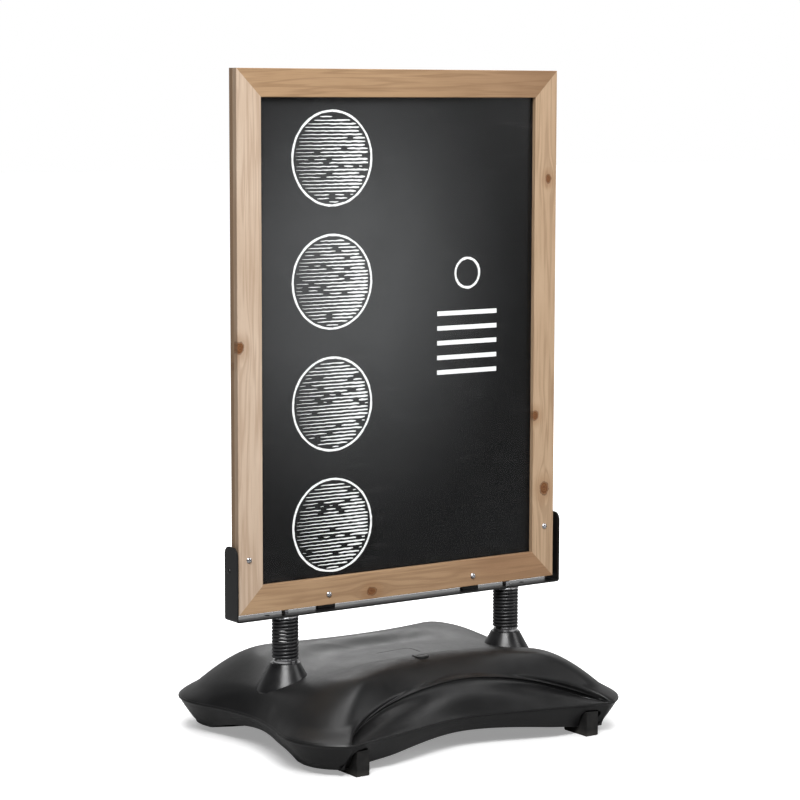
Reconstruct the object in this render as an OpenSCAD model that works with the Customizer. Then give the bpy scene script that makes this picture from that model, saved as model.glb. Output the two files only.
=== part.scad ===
/* [Sign frame] */
// Outer width of the wooden frame
frame_w = 670; // [664:1:676]
// Outer height of the wooden frame
frame_h = 917; // [880:1:960]
// Width of the wooden profile, seen from the front
profile_w = 48; // [44:1:56]
// Thickness of the whole wooden frame, front ring and rear ring together
frame_t = 24; // [22:1:28]
// Thickness of the clear cover sheets
cover_t = 1; // [0.8:0.1:1.2]
// Thickness of a printed poster
poster_t = 0.3; // [0.2:0.05:0.4]

/* [Cradle] */
// Outer width of the steel cradle
cradle_w = 687.6; // [684:0.2:692]
// Width of the flat bar that the cradle is bent from
bar_w = 40; // [36:1:46]
// Thickness of the flat bar
bar_t = 3; // [3:0.5:4]
// Height of the cradle arms
arm_h = 128; // [100:1:160]
// Gap between the cradle plate and the frame above it
frame_gap = 7.5; // [6.5:0.5:10]

/* [Springs] */
// Distance between the two springs
spring_pitch_x = 472; // [460:1:480]
// Outer diameter of a spring
spring_d = 46.5; // [44:0.5:48]
// Wire diameter of a spring
wire_d = 5.4; // [5:0.1:5.6]
// Number of turns of a spring
spring_turns = 12; // [10:1:12]
// Length of a spring
spring_l = 75; // [72:1:84]

/* [Base] */
// Height of the mould parting line above the ground
belt_z = 58; // [54:1:62]
// Height of the two arched ridges at their middle
ridge_z = 152; // [150:1:158]
// Height of the valley between the ridges
valley_z = 137; // [132:1:142]
// Wall thickness of the tank
wall_t = 5; // [4:0.5:7]

/* [Hidden] */

// heights above the ground
ring_z0 = 146;                         // underside of the seat ring, top of the cone
ring_t = 5;
spring_z0 = ring_z0 + ring_t + 1;      // 152
spring_z1 = spring_z0 + spring_l;      // 227
plate_z0 = spring_z1 + 1;              // 228
plate_z1 = plate_z0 + bar_t;           // 231
frame_z0 = plate_z1 + frame_gap;       // 238.5
frame_z1 = frame_z0 + frame_h;
frame_zc = (frame_z0 + frame_z1) / 2;
sx = spring_pitch_x / 2;
half_t = frame_t / 2;
rebate_w = 13;                         // how far the rebate reaches into the profile
rebate_d = half_t - 9;                 // depth of the rebate in each ring
open_w = frame_w - 2 * profile_w;
open_h = frame_h - 2 * profile_w;
sheet_w = open_w + 2 * rebate_w - 2;
sheet_h = open_h + 2 * rebate_w - 2;
board_t = 2 * (rebate_d - cover_t - poster_t) - 0.1;
// the clamping screws: two in the stiles, two in the bottom rail
screw_xz = [[frame_w / 2 - 20.5, frame_z0 + 93.5], [-(frame_w / 2 - 20.5), frame_z0 + 93.5],
            [153.8, frame_z0 + 18], [-153.8, frame_z0 + 18]];
side_screw_z = plate_z0 + 86;
cone_z0 = 88;                          // underside of the cone, down in its seat
cone_z1 = 100;                         // where the cone starts to taper
cone_r0 = 50.5;
cone_r1 = 25;
cap_x = -26;                            // the filler cap sits on the front ridge, near its middle
cap_y = -105;
cap_z = 149.5;
foot_x = 241;
foot_w = 25;

// ---------- the tank's surface ----------
// one quarter of the parting line in plan, from the middle of the side to the middle of the front
belt_q = [[305, 0], [309, 45], [318, 90], [330, 130], [336, 165], [331, 200],
          [315, 230], [292, 253], [272, 263], [250, 257], [200, 245], [120, 225], [50, 207], [0, 201]];
bn = len(belt_q) - 1;
function clamp01(v) = max(0, min(1, v));
function sstep(a, b, v) = let (t = clamp01((v - a) / (b - a))) t * t * (3 - 2 * t);
function mixv(a, b, t) = a * (1 - t) + b * t;
function qp(i) = i < 0 ? [belt_q[-i][0], -belt_q[-i][1]]
    : (i > bn ? [-belt_q[2 * bn - i][0], belt_q[2 * bn - i][1]] : belt_q[i]);
function cr(a, b, c, d, t) = 0.5 * ((2 * b) + (c - a) * t + (2 * a - 5 * b + 4 * c - d) * t * t
    + (3 * b - a - 3 * c + d) * t * t * t);
function belt(s) = let (f = s * bn, i = min(bn - 1, floor(f)), t = f - i)
    cr(qp(i - 1), qp(i), qp(i + 1), qp(i + 2), t);
// outward normal of the parting line
function belt_n(s) = let (e = 0.004, a = belt(max(0, s - e)), b = belt(min(1, s + e)), d = b - a,
    l = norm(d)) [d[1] / l, -d[0] / l];
// the lower edge of the ridge: an arch over the recessed wall
function arch_y(x) = 188 + 48 * pow(x / 250, 3.5);
function arch_z(x) = 122 - 66.5 * pow(x / 275, 1.7);
s_arch = 8 / bn;
function on_front(s) = sstep(s_arch - 0.03, s_arch + 0.05, s);
function arch_in(s) = let (b = belt(s)) mixv(3, max(3, b[1] - arch_y(min(272, b[0]))), on_front(s));
function arch_h(s) = let (b = belt(s)) max(belt_z + 3, s > s_arch ? arch_z(min(272, b[0])) : 0);
// how far the skirt draws in towards the bottom, and the height of its lower edge
function skirt_in(s) = let (b = belt(s))
    mixv(mixv(14, 30, sstep(60, 150, b[1])), 6, on_front(s) * sstep(262, 150, b[0]));
function skirt_z(s) = let (b = belt(s)) s > s_arch ? 10 + 20 * clamp01(1 - pow(b[0] / 240, 2))
    : 10 + 24 * clamp01(1 - pow(b[1] / 135, 2));
// height of the inner surface: a valley between two ridges
function zin(x, y) = let (v = valley_z - 22 * pow(abs(x) / 236, 2.6), r = ridge_z - 26 * pow(abs(x) / 300, 1.8))
    v + (r - v) * sstep(50, 100, abs(y));
function round_d(s) = let (y = belt(s)[1]) mixv(mixv(30, 133, sstep(60, 165, y)), 107, on_front(s));

// a point of ring k at parameter s; o is how far the surface is set in
function skirt_pt(s, k, o) = let (b = belt(s), n = belt_n(s), zb = skirt_z(s), si = skirt_in(s),
    i = [si + 6, si, si * 0.80, si * 0.35, 1][k],
    z = [zb, zb + 3, zb + 11, mixv(zb, belt_z, 0.62), belt_z - 2][k],
    p = b - n * (i + o)) [p[0], p[1], max(z, zb + o)];
function wall_pt(s, k, o) = let (b = belt(s), n = belt_n(s), ai = arch_in(s), ah = arch_h(s), f = on_front(s),
    i = [0, 0.5, mixv(1.2, ai * 0.5, f), mixv(2, ai + 5, f), ai][k],
    z = [belt_z, belt_z + 1.5, mixv(belt_z + 2, mixv(belt_z, ah, 0.52), f), ah - mixv(1, 5, f * sstep(266, 230, b[0])), ah][k],
    p = b - n * (i + o)) [p[0], p[1], z - o];
function top_pt(s, a, o) = let (b = belt(s), n = belt_n(s), p0 = b - n * arch_in(s), d = a * norm(p0),
    q = p0 * (1 - a) - n * o * (1 - a), f = 1 - pow(1 - clamp01(d / round_d(s)), 1.8))
    [q[0], q[1], mixv(arch_h(s), zin(q[0], q[1]), f) - o];
function bot_pt(s, a, o) = let (b = belt(s), n = belt_n(s), p0 = b - n * (skirt_in(s) + 6 + o),
    q = p0 * (1 - a)) [q[0], q[1], mixv(skirt_z(s), 46, sstep(0.12, 0.75, a)) + o];

// mirror one quarter parameter round the whole ring of 4 * nq points
function ring_s(j, nq) = let (q = floor(j / nq), r = j - q * nq) (q % 2 == 0 ? r / nq : 1 - r / nq);
function quad_pt(p, j, nq) = let (q = floor(j / nq))
    q == 0 ? p : q == 1 ? [-p[0], p[1], p[2]] : q == 2 ? [-p[0], -p[1], p[2]] : [p[0], -p[1], p[2]];

// closed shell made of stacked rings, with a point at the middle of the bottom and of the top
module ring_shell(rings, n, zlow, zhigh) {
  m = len(rings);
  pts = concat([for (r = rings) for (p = r) p], [[0, 0, zlow], [0, 0, zhigh]]);
  lo = m * n;
  hi = m * n + 1;
  faces = concat(
    [for (k = [0 : m - 2]) for (j = [0 : n - 1]) [k * n + j, (k + 1) * n + j, k * n + (j + 1) % n]],
    [for (k = [0 : m - 2]) for (j = [0 : n - 1]) [(k + 1) * n + j, (k + 1) * n + (j + 1) % n, k * n + (j + 1) % n]],
    [for (j = [0 : n - 1]) [lo, j, (j + 1) % n]],
    [for (j = [0 : n - 1]) [hi, (m - 1) * n + (j + 1) % n, (m - 1) * n + j]]);
  polyhedron(points = pts, faces = faces, convexity = 6);
}

module tank_outer() {
  nq = 20;
  n = 4 * nq;
  tops = [0.025, 0.06, 0.11, 0.17, 0.24, 0.32, 0.41, 0.52, 0.64, 0.8];
  rings = concat(
    [for (a = [0.7, 0.45, 0.25, 0.1]) [for (j = [0 : n - 1]) quad_pt(bot_pt(ring_s(j, nq), a, 0), j, nq)]],
    [for (k = [0 : 4]) [for (j = [0 : n - 1]) quad_pt(skirt_pt(ring_s(j, nq), k, 0), j, nq)]],
    [for (k = [0, 2, 3, 4]) [for (j = [0 : n - 1]) quad_pt(wall_pt(ring_s(j, nq), k, 0), j, nq)]],
    [for (a = tops) [for (j = [0 : n - 1]) quad_pt(top_pt(ring_s(j, nq), a, 0), j, nq)]]);
  ring_shell(rings, n, 46, valley_z);
}

// the space inside the walls: four stacked slabs that follow the outer surface, at least o inside it, and shrunk by gap
function ring_a(s, z) = max(s > s_arch - 0.12 ? (s < s_arch + 0.16 ? 0.2 : 0.13) : 0.05, min([for (a = [0.02 : 0.02 : 0.94]) if (top_pt(s, a, 0)[2] >= z) a]));
module tank_inner(o, gap) {
  nq = 12;
  zs = [52, 72, 92, 110, 122];
  for (k = [0 : 3]) let (z0 = zs[k] + (k > 0 ? -gap : gap), z1 = zs[k + 1] - gap) translate([0, 0, z0]) linear_extrude(z1 - z0)
    polygon([for (j = [0 : 4 * nq - 1]) let (s = ring_s(j, nq), p = quad_pt(top_pt(s, ring_a(s, zs[k + 1] + o), 0), j, nq), l = norm([p[0], p[1]]))
      if (round(s * nq) != 8) [p[0] * (l - gap) / l, p[1] * (l - gap) / l]]);
}

module seat_columns(r, z0, z1) {
  for (m = [-1, 1]) translate([m * sx, 0, z0]) cylinder(h = z1 - z0, r = r, $fn = 48);
}

// arched pocket round a foot block, with a flared mouth at the front or rear of its lobe
module foot_pocket(mx, my) {
  translate([mx * foot_x, 0, 0]) {
    hull() {
      translate([-14, my > 0 ? 182 : -278, -5]) cube([28, 96, 30]);
      for (k = [-1, 1]) translate([k * 8, my > 0 ? 278 : -182, 40]) rotate([90, 0, 0]) cylinder(h = 96, r = 6, $fn = 24);
    }
    hull() {
      translate([-14, my > 0 ? 222 : -224, -5]) cube([28, 2, 40]);
      translate([-26, my > 0 ? 262 : -264, -5]) cube([52, 2, 30]);
      for (k = [-1, 1]) translate([k * 14, my > 0 ? 264 : -262, 34]) rotate([90, 0, 0]) cylinder(h = 2, r = 12, $fn = 24);
    }
  }
}

module base_tank() {
  color([0.13, 0.13, 0.135]) difference() {
    tank_outer();
    difference() {
      tank_inner(wall_t + 1, 0);
      seat_columns(57, 0, 200);
    }
    // filler hole
    translate([cap_x, cap_y, cap_z - 38]) cylinder(h = 70, r = 10.5, $fn = 48);
    translate([cap_x, cap_y, cap_z - 3.2]) cylinder(h = 40, r = 14, $fn = 48);
    for (m = [-1, 1]) translate([m * sx, 0, 0]) {
      // seat of the cone
      translate([0, 0, cone_z0]) cylinder(h = cone_z1 - cone_z0 + 0.2, r = cone_r0 + 0.3, $fn = 64);
      translate([0, 0, cone_z1]) cylinder(h = ring_z0 - cone_z1, r1 = cone_r0 + 0.3, r2 = cone_r1 + 0.3, $fn = 64);
      translate([0, 0, 20]) cylinder(h = 80, r = 5.5, $fn = 32);
      // pocket for the head of the anchor bolt, open downwards
      cylinder(h = 68, r = 30, $fn = 48);
    }
    for (mx = [-1, 1]) for (my = [-1, 1]) foot_pocket(mx, my);
  }
}

module ballast_fill() {
  color([0.45, 0.55, 0.6]) difference() {
    tank_inner(wall_t + 1, 3);
    seat_columns(60, 0, 200);
    translate([cap_x, cap_y, cap_z - 44]) cylinder(h = 60, r = 16, $fn = 32);
  }
}

module filler_cap() {
  color([0.1, 0.1, 0.105]) translate([cap_x, cap_y, cap_z]) difference() {
    union() {
      // flange
      rotate_extrude($fn = 64) polygon([[0, -1.2], [13, -1.2], [13.2, -0.9], [13.2, 0.6], [12.4, 1.6], [9, 2], [0, 2]]);
      // threaded plug below the flange
      translate([0, 0, -16]) cylinder(h = 15.5, r = 10, $fn = 48);
    }
    // slot for a coin
    translate([-8, -1.2, 0.4]) cube([16, 2.4, 5]);
    // hollow plug
    translate([0, 0, -17]) cylinder(h = 13, r = 7.5, $fn = 32);
  }
}

module cap_seal() {
  color([0.06, 0.06, 0.06]) translate([cap_x, cap_y, cap_z - 3.2]) difference() {
    cylinder(h = 1.9, r = 13.2, $fn = 64);
    translate([0, 0, -1]) cylinder(h = 4, r = 10.4, $fn = 48);
  }
}

// a rubber block in a pocket under each lobe, with a chamfered toe
module foot(mx, my) {
  color([0.09, 0.09, 0.09]) translate([mx * foot_x, 0, 0]) rotate([90, 0, 90])
    translate([0, 0, -foot_w / 2]) linear_extrude(foot_w)
      polygon(my < 0 ? [[-246, 0], [-186, 0], [-184, 2], [-184, 43], [-248, 43], [-248, 2]]
                     : [[246, 0], [248, 2], [248, 43], [184, 43], [184, 2], [186, 0]]);
}
module foot_front_left() { foot(-1, -1); }
module foot_front_right() { foot(1, -1); }
module foot_rear_left() { foot(-1, 1); }
module foot_rear_right() { foot(1, 1); }

module spring_cone(m) {
  color([0.07, 0.07, 0.075]) translate([m * sx, 0, 0]) difference() {
    rotate_extrude($fn = 96) polygon([[0, cone_z0], [cone_r0, cone_z0], [cone_r0, cone_z1], [cone_r1 + 0.8, ring_z0 - 0.6],
      [cone_r1 + 0.2, ring_z0], [0, ring_z0]]);
    // bore of the anchor bolt
    translate([0, 0, cone_z0 - 1]) cylinder(h = 80, r = 5.5, $fn = 32);
    // hollow underside, with the middle left solid under the plug
    difference() {
      translate([0, 0, cone_z0 - 1]) rotate_extrude($fn = 64) polygon([[0, 0], [46, 0], [46, 12], [28, 44], [0, 44]]);
      translate([0, 0, cone_z0 - 2]) cylinder(h = 50, r = 17, $fn = 48);
    }
    // recess that centres the lower plug
    translate([0, 0, ring_z0 - 4]) cylinder(h = 5, r = 17.2, $fn = 48);
  }
}
module spring_cone_left() { spring_cone(-1); }
module spring_cone_right() { spring_cone(1); }

module seat_ring(m) {
  color([0.78, 0.78, 0.8]) translate([m * sx, 0, ring_z0]) difference() {
    cylinder(h = ring_t, r = 21.5, $fn = 64);
    translate([0, 0, -1]) cylinder(h = ring_t + 2, r = 17.2, $fn = 48);
  }
}
module seat_ring_left() { seat_ring(-1); }
module seat_ring_right() { seat_ring(1); }

// cast plug that the lower end of the spring is wound onto
module lower_plug(m) {
  color([0.35, 0.35, 0.36]) translate([m * sx, 0, 0]) difference() {
    translate([0, 0, ring_z0 - 4]) cylinder(h = 32, r = 17, $fn = 48);
    translate([0, 0, ring_z0 - 5]) cylinder(h = 26, r = 4.1, $fn = 32);
  }
}
module lower_plug_left() { lower_plug(-1); }
module lower_plug_right() { lower_plug(1); }

module upper_plug(m) {
  color([0.35, 0.35, 0.36]) translate([m * sx, 0, 0]) difference() {
    translate([0, 0, spring_z1 - 20]) cylinder(h = 21, r = 17, $fn = 48);
    translate([0, 0, spring_z1 - 16]) cylinder(h = 20, r = 4.1, $fn = 32);
  }
}
module upper_plug_left() { upper_plug(-1); }
module upper_plug_right() { upper_plug(1); }

module hex_bolt(af, head, d, len) {
  cylinder(h = head, r = af / 2 / cos(30), $fn = 6);
  translate([0, 0, -len]) cylinder(h = len, r = d / 2, $fn = 32);
}

module anchor_bolts() {
  color([0.7, 0.7, 0.72]) for (m = [-1, 1]) translate([m * sx, 0, 66]) mirror([0, 0, 1]) hex_bolt(13, 5.5, 8, 96);
}
module anchor_washers() {
  color([0.7, 0.7, 0.72]) for (m = [-1, 1]) translate([m * sx, 0, 66]) difference() {
    cylinder(h = 2, r = 14, $fn = 48);
    translate([0, 0, -1]) cylinder(h = 4, r = 4.2, $fn = 32);
  }
}
module plate_bolts() {
  color([0.78, 0.78, 0.8]) for (m = [-1, 1]) translate([m * sx, 0, plate_z1]) hex_bolt(11.5, 5.5, 8, 18);
}

// close-wound spring: one wire swept along a helix, with flat closed ends
module spring(m) {
  ns = 14;
  nw = 6;
  rm = (spring_d - wire_d) / 2;
  wr = wire_d / 2;
  total = round(ns * (spring_turns - 1));
  rise = (spring_l - wire_d) / total;
  pts = [for (i = [0 : total]) for (j = [0 : nw - 1]) let (a = i * 360 / ns, b = j * 360 / nw, r = rm + wr * cos(b))
    [r * cos(a), r * sin(a), wr + i * rise + wr * sin(b)]];
  side = [for (i = [0 : total - 1]) for (j = [0 : nw - 1])
    [i * nw + j, (i + 1) * nw + j, (i + 1) * nw + (j + 1) % nw]];
  side2 = [for (i = [0 : total - 1]) for (j = [0 : nw - 1])
    [i * nw + j, (i + 1) * nw + (j + 1) % nw, i * nw + (j + 1) % nw]];
  color([0.12, 0.12, 0.125]) translate([m * sx, 0, spring_z0])
    polyhedron(points = pts, faces = concat(side, side2,
      [[for (j = [0 : nw - 1]) j]], [[for (j = [nw - 1 : -1 : 0]) total * nw + j]]), convexity = 10);
}
module spring_left() { spring(-1); }
module spring_right() { spring(1); }

// one flat bar bent into a U under and beside the frame
module cradle() {
  hw = cradle_w / 2;
  ro = 5;
  color([0.05, 0.05, 0.052]) difference() {
    union() {
      translate([-hw + ro, -bar_w / 2, plate_z0]) cube([2 * (hw - ro), bar_w, bar_t]);
      for (m = [-1, 1]) {
        // bend
        translate([m * (hw - ro), bar_w / 2, plate_z0 + ro]) rotate([90, 0, 0]) linear_extrude(bar_w)
          difference() {
            circle(r = ro, $fn = 48);
            circle(r = ro - bar_t, $fn = 48);
            translate([-10, 0]) square([20, 10]);
            translate([m > 0 ? -10 : 0, -10]) square([10, 20]);
          }
        // arm with rounded top corners
        translate([m > 0 ? hw - bar_t : -hw, 0, plate_z0 + ro]) rotate([90, 0, 90]) linear_extrude(bar_t) {
          translate([-bar_w / 2, 0]) square([bar_w, arm_h - ro - 14]);
          translate([-bar_w / 2 + 14, 0]) square([bar_w - 28, arm_h - ro]);
          for (k = [-1, 1]) translate([k * (bar_w / 2 - 14), arm_h - ro - 14]) circle(r = 14, $fn = 64);
        }
      }
    }
    for (m = [-1, 1]) {
      translate([m * sx, 0, plate_z0 - 5]) cylinder(h = 20, r = 4.3, $fn = 32);
      // spare holes outboard of the springs
      translate([m * 272, 0, plate_z0 - 5]) cylinder(h = 20, r = 4.75, $fn = 48);
      translate([m * (hw + 5), half_t / 2, side_screw_z]) rotate([0, -m * 90, 0]) cylinder(h = 20, r = 2.3, $fn = 32);
    }
  }
}

// upright brackets that stand on the plate and reach up between the two rings
module frame_brackets() {
  color([0.05, 0.05, 0.052]) for (m = [-1, 1]) difference() {
    union() {
      translate([m * 153.8 - 17.5, -1.5, plate_z1]) cube([35, 3, frame_gap + 30]);
      translate([m * 153.8 - 17.5, -4, plate_z1]) cube([35, 8, frame_gap - 0.5]);
    }
    translate([m * 153.8, 10, frame_z0 + 18]) rotate([90, 0, 0]) cylinder(h = 20, r = 2.85, $fn = 32);
  }
}

module side_spacers() {
  g = cradle_w / 2 - bar_t - frame_w / 2;
  color([0.05, 0.05, 0.052]) for (m = [-1, 1])
    translate([m * frame_w / 2, half_t / 2, side_screw_z]) rotate([0, m * 90, 0]) difference() {
      cylinder(h = g, r = 5.2, $fn = 48);
      translate([0, 0, -1]) cylinder(h = g + 2, r = 2.3, $fn = 32);
    }
}
module side_screws() {
  color([0.08, 0.08, 0.08]) for (m = [-1, 1])
    translate([m * cradle_w / 2, half_t / 2, side_screw_z]) rotate([0, m * 90, 0]) rotate_extrude($fn = 48)
      polygon([[0, 1.8], [2.4, 1.6], [4, 0.9], [4.5, 0], [2.2, 0], [2.2, -26], [0, -29]]);
}

// ---------- the wooden rings ----------
// s is -1 for the front ring and 1 for the rear ring
module bar_profile(l, w, edge) {
  // a mitred bar lying along X with its outer edge at y = 0 and its inner edge at y = w
  polygon([[-l / 2, 0], [l / 2, 0], [l / 2 - w, w], [-l / 2 + w, w]]);
}
// ring quarter: side 0 bottom, 1 right, 2 top, 3 left
module rail_shape(side, w) {
  a = side * 90;
  l = side % 2 == 0 ? frame_w : frame_h;
  off = side % 2 == 0 ? frame_h / 2 : frame_w / 2;
  rotate(a) translate([0, -off]) bar_profile(l, w);
}
module layer(s, y0, y1) {
  // lifts a drawing in X and Z to the slab between y0 and y1, measured from the middle plane outwards
  translate([0, s < 0 ? -y0 : y1, frame_zc]) rotate([90, 0, 0]) linear_extrude(y1 - y0) children();
}
module ring_bar(s, side) {
  tone = [[0.70, 0.53, 0.36], [0.72, 0.57, 0.42], [0.62, 0.46, 0.33], [0.76, 0.63, 0.50]][side];
  color(tone) difference() {
    union() {
      layer(s, rebate_d, half_t) rail_shape(side, profile_w);
      layer(s, 0, rebate_d) rail_shape(side, profile_w - rebate_w);
    }
    for (p = screw_xz) translate([p[0], 0, p[1]]) rotate([s < 0 ? 90 : -90, 0, 0])
      translate([0, 0, -1]) cylinder(h = half_t + 2, r = s < 0 ? 2.75 : 3.6, $fn = 32);
    if (side == 0) for (m = [-1, 1])
      translate([m * 153.8 - 18.5, s < 0 ? -2 : -3, frame_z0 - 1]) cube([37, 5, 32]);
    if (s > 0 && side % 2 == 1) for (m = [-1, 1])
      translate([m * (frame_w / 2 + 1), half_t / 2, side_screw_z]) rotate([0, -m * 90, 0]) cylinder(h = 26, r = 2.25, $fn = 32);
  }
}
module front_rail_bottom() { ring_bar(-1, 0); }
module front_stile_right() { ring_bar(-1, 1); }
module front_rail_top() { ring_bar(-1, 2); }
module front_stile_left() { ring_bar(-1, 3); }
module rear_rail_bottom() { ring_bar(1, 0); }
module rear_stile_right() { ring_bar(1, 1); }
module rear_rail_top() { ring_bar(1, 2); }
module rear_stile_left() { ring_bar(1, 3); }

module sheet(y0, t) {
  translate([-sheet_w / 2, y0, frame_zc - sheet_h / 2]) cube([sheet_w, t, sheet_h]);
}
module front_cover() { color([0.8, 0.85, 0.88, 0.3]) sheet(-rebate_d, cover_t); }
module front_poster() { color([0.09, 0.09, 0.09]) sheet(-rebate_d + cover_t, poster_t); }
module backing_board() { color([0.9, 0.9, 0.9]) sheet(-board_t / 2, board_t); }
module rear_poster() { color([0.09, 0.09, 0.09]) sheet(rebate_d - cover_t - poster_t, poster_t); }
module rear_cover() { color([0.8, 0.85, 0.88, 0.3]) sheet(rebate_d - cover_t, cover_t); }

// domed screws from the front, and the sleeve nuts that they run into from the rear
module frame_screws() {
  color([0.8, 0.8, 0.82]) for (p = screw_xz) translate([p[0], -half_t, p[1]]) rotate([90, 0, 0]) difference() {
    rotate_extrude($fn = 64) polygon([[0, 3.2], [2, 3], [3.8, 2.2], [5, 0.9], [5.25, 0], [2.45, 0], [2.45, -19], [2, -20], [0, -20]]);
    // hexagon socket
    translate([0, 0, 1.2]) cylinder(h = 4, r = 1.75, $fn = 6);
  }
}
module sleeve_nuts() {
  color([0.8, 0.8, 0.82]) for (p = screw_xz) translate([p[0], half_t, p[1]]) rotate([-90, 0, 0]) difference() {
    rotate_extrude($fn = 64) polygon([[0, 3.2], [2, 3], [3.8, 2.2], [5, 0.9], [5.25, 0], [3.55, 0], [3.55, -9], [0, -9]]);
    translate([0, 0, -10]) cylinder(h = 7.6, r = 2.5, $fn = 32);
    translate([0, 0, 1.2]) cylinder(h = 4, r = 1.75, $fn = 6);
  }
}

base_tank();
ballast_fill();
filler_cap();
cap_seal();
foot_front_left();
foot_front_right();
foot_rear_left();
foot_rear_right();
spring_cone_left();
spring_cone_right();
seat_ring_left();
seat_ring_right();
lower_plug_left();
lower_plug_right();
anchor_bolts();
anchor_washers();
spring_left();
spring_right();
upper_plug_left();
upper_plug_right();
plate_bolts();
cradle();
frame_brackets();
side_spacers();
side_screws();
rear_stile_left();
rear_stile_right();
rear_rail_top();
rear_rail_bottom();
backing_board();
front_poster();
rear_poster();
rear_cover();
sleeve_nuts();
front_stile_left();
front_stile_right();
front_rail_top();
front_rail_bottom();
front_cover();
frame_screws();
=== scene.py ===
import math
import random

import bmesh
import bpy
import numpy as np
from mathutils import Matrix, Vector


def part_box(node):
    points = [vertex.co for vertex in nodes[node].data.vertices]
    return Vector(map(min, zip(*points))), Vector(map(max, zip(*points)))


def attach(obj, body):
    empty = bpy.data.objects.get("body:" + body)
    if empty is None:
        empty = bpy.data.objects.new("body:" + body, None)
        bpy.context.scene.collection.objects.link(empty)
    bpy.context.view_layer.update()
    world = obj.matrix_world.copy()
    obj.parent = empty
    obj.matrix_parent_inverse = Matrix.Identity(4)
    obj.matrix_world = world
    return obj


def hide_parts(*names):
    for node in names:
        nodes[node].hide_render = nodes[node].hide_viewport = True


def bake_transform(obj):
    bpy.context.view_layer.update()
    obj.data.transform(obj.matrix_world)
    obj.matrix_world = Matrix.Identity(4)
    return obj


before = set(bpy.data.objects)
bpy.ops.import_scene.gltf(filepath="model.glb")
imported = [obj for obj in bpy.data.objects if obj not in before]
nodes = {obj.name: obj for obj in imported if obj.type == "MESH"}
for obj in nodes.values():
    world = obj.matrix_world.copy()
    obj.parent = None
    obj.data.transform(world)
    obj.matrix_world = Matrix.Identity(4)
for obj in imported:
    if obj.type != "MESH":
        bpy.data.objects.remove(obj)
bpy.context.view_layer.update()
scene = bpy.context.scene
MM = 0.001


# ------------------------------------------------------------------ small helpers
def box_mm(name):
    lo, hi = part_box(name)
    return [v / MM for v in lo], [v / MM for v in hi]


def link(obj):
    scene.collection.objects.link(obj)
    return obj


def make_mesh(name, verts, faces, smooth=True, angle=None):
    me = bpy.data.meshes.new(name)
    me.from_pydata([tuple(v) for v in verts], [], [tuple(f) for f in faces])
    me.update()
    if smooth:
        me.polygons.foreach_set("use_smooth", [True] * len(me.polygons))
        if angle is not None:
            me.set_sharp_from_angle(angle=math.radians(angle))
    return link(bpy.data.objects.new(name, me))


def fix_normals(obj):
    bm = bmesh.new()
    bm.from_mesh(obj.data)
    bmesh.ops.recalc_face_normals(bm, faces=bm.faces)
    bm.to_mesh(obj.data)
    bm.free()


def lin(r, g, b):
    """sRGB 0-255 to a linear RGBA."""
    def c(v):
        v /= 255.0
        return v / 12.92 if v <= 0.04045 else ((v + 0.055) / 1.055) ** 2.4
    return (c(r), c(g), c(b), 1.0)


# ------------------------------------------------------------------ camera, at the reference's viewing angle
CAM_POS = Vector((-2.54138, -3.67292, 1.10803))
AZ, EL, ROLL, FOCAL_PX = -34.70425, 6.70939, 0.12283, 2574.64
a, e, r = (math.radians(v) for v in (AZ, EL, ROLL))
back = Vector((math.sin(a) * math.cos(e), -math.cos(a) * math.cos(e), math.sin(e)))
right = Vector((0, 0, 1)).cross(back).normalized()
up = back.cross(right)
right2 = right * math.cos(r) + up * math.sin(r)
up2 = up * math.cos(r) - right * math.sin(r)
cam_data = bpy.data.cameras.new("camera")
cam_data.sensor_width = 36.0
cam_data.lens = FOCAL_PX / 800.0 * 36.0
cam_data.clip_start, cam_data.clip_end = 0.05, 200.0
cam = link(bpy.data.objects.new("camera", cam_data))
m = Matrix((right2, up2, back)).transposed().to_4x4()
m.translation = CAM_POS
cam.matrix_world = m
scene.camera = cam
scene.view_settings.view_transform = "Standard"
scene.view_settings.look = "None"


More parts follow.
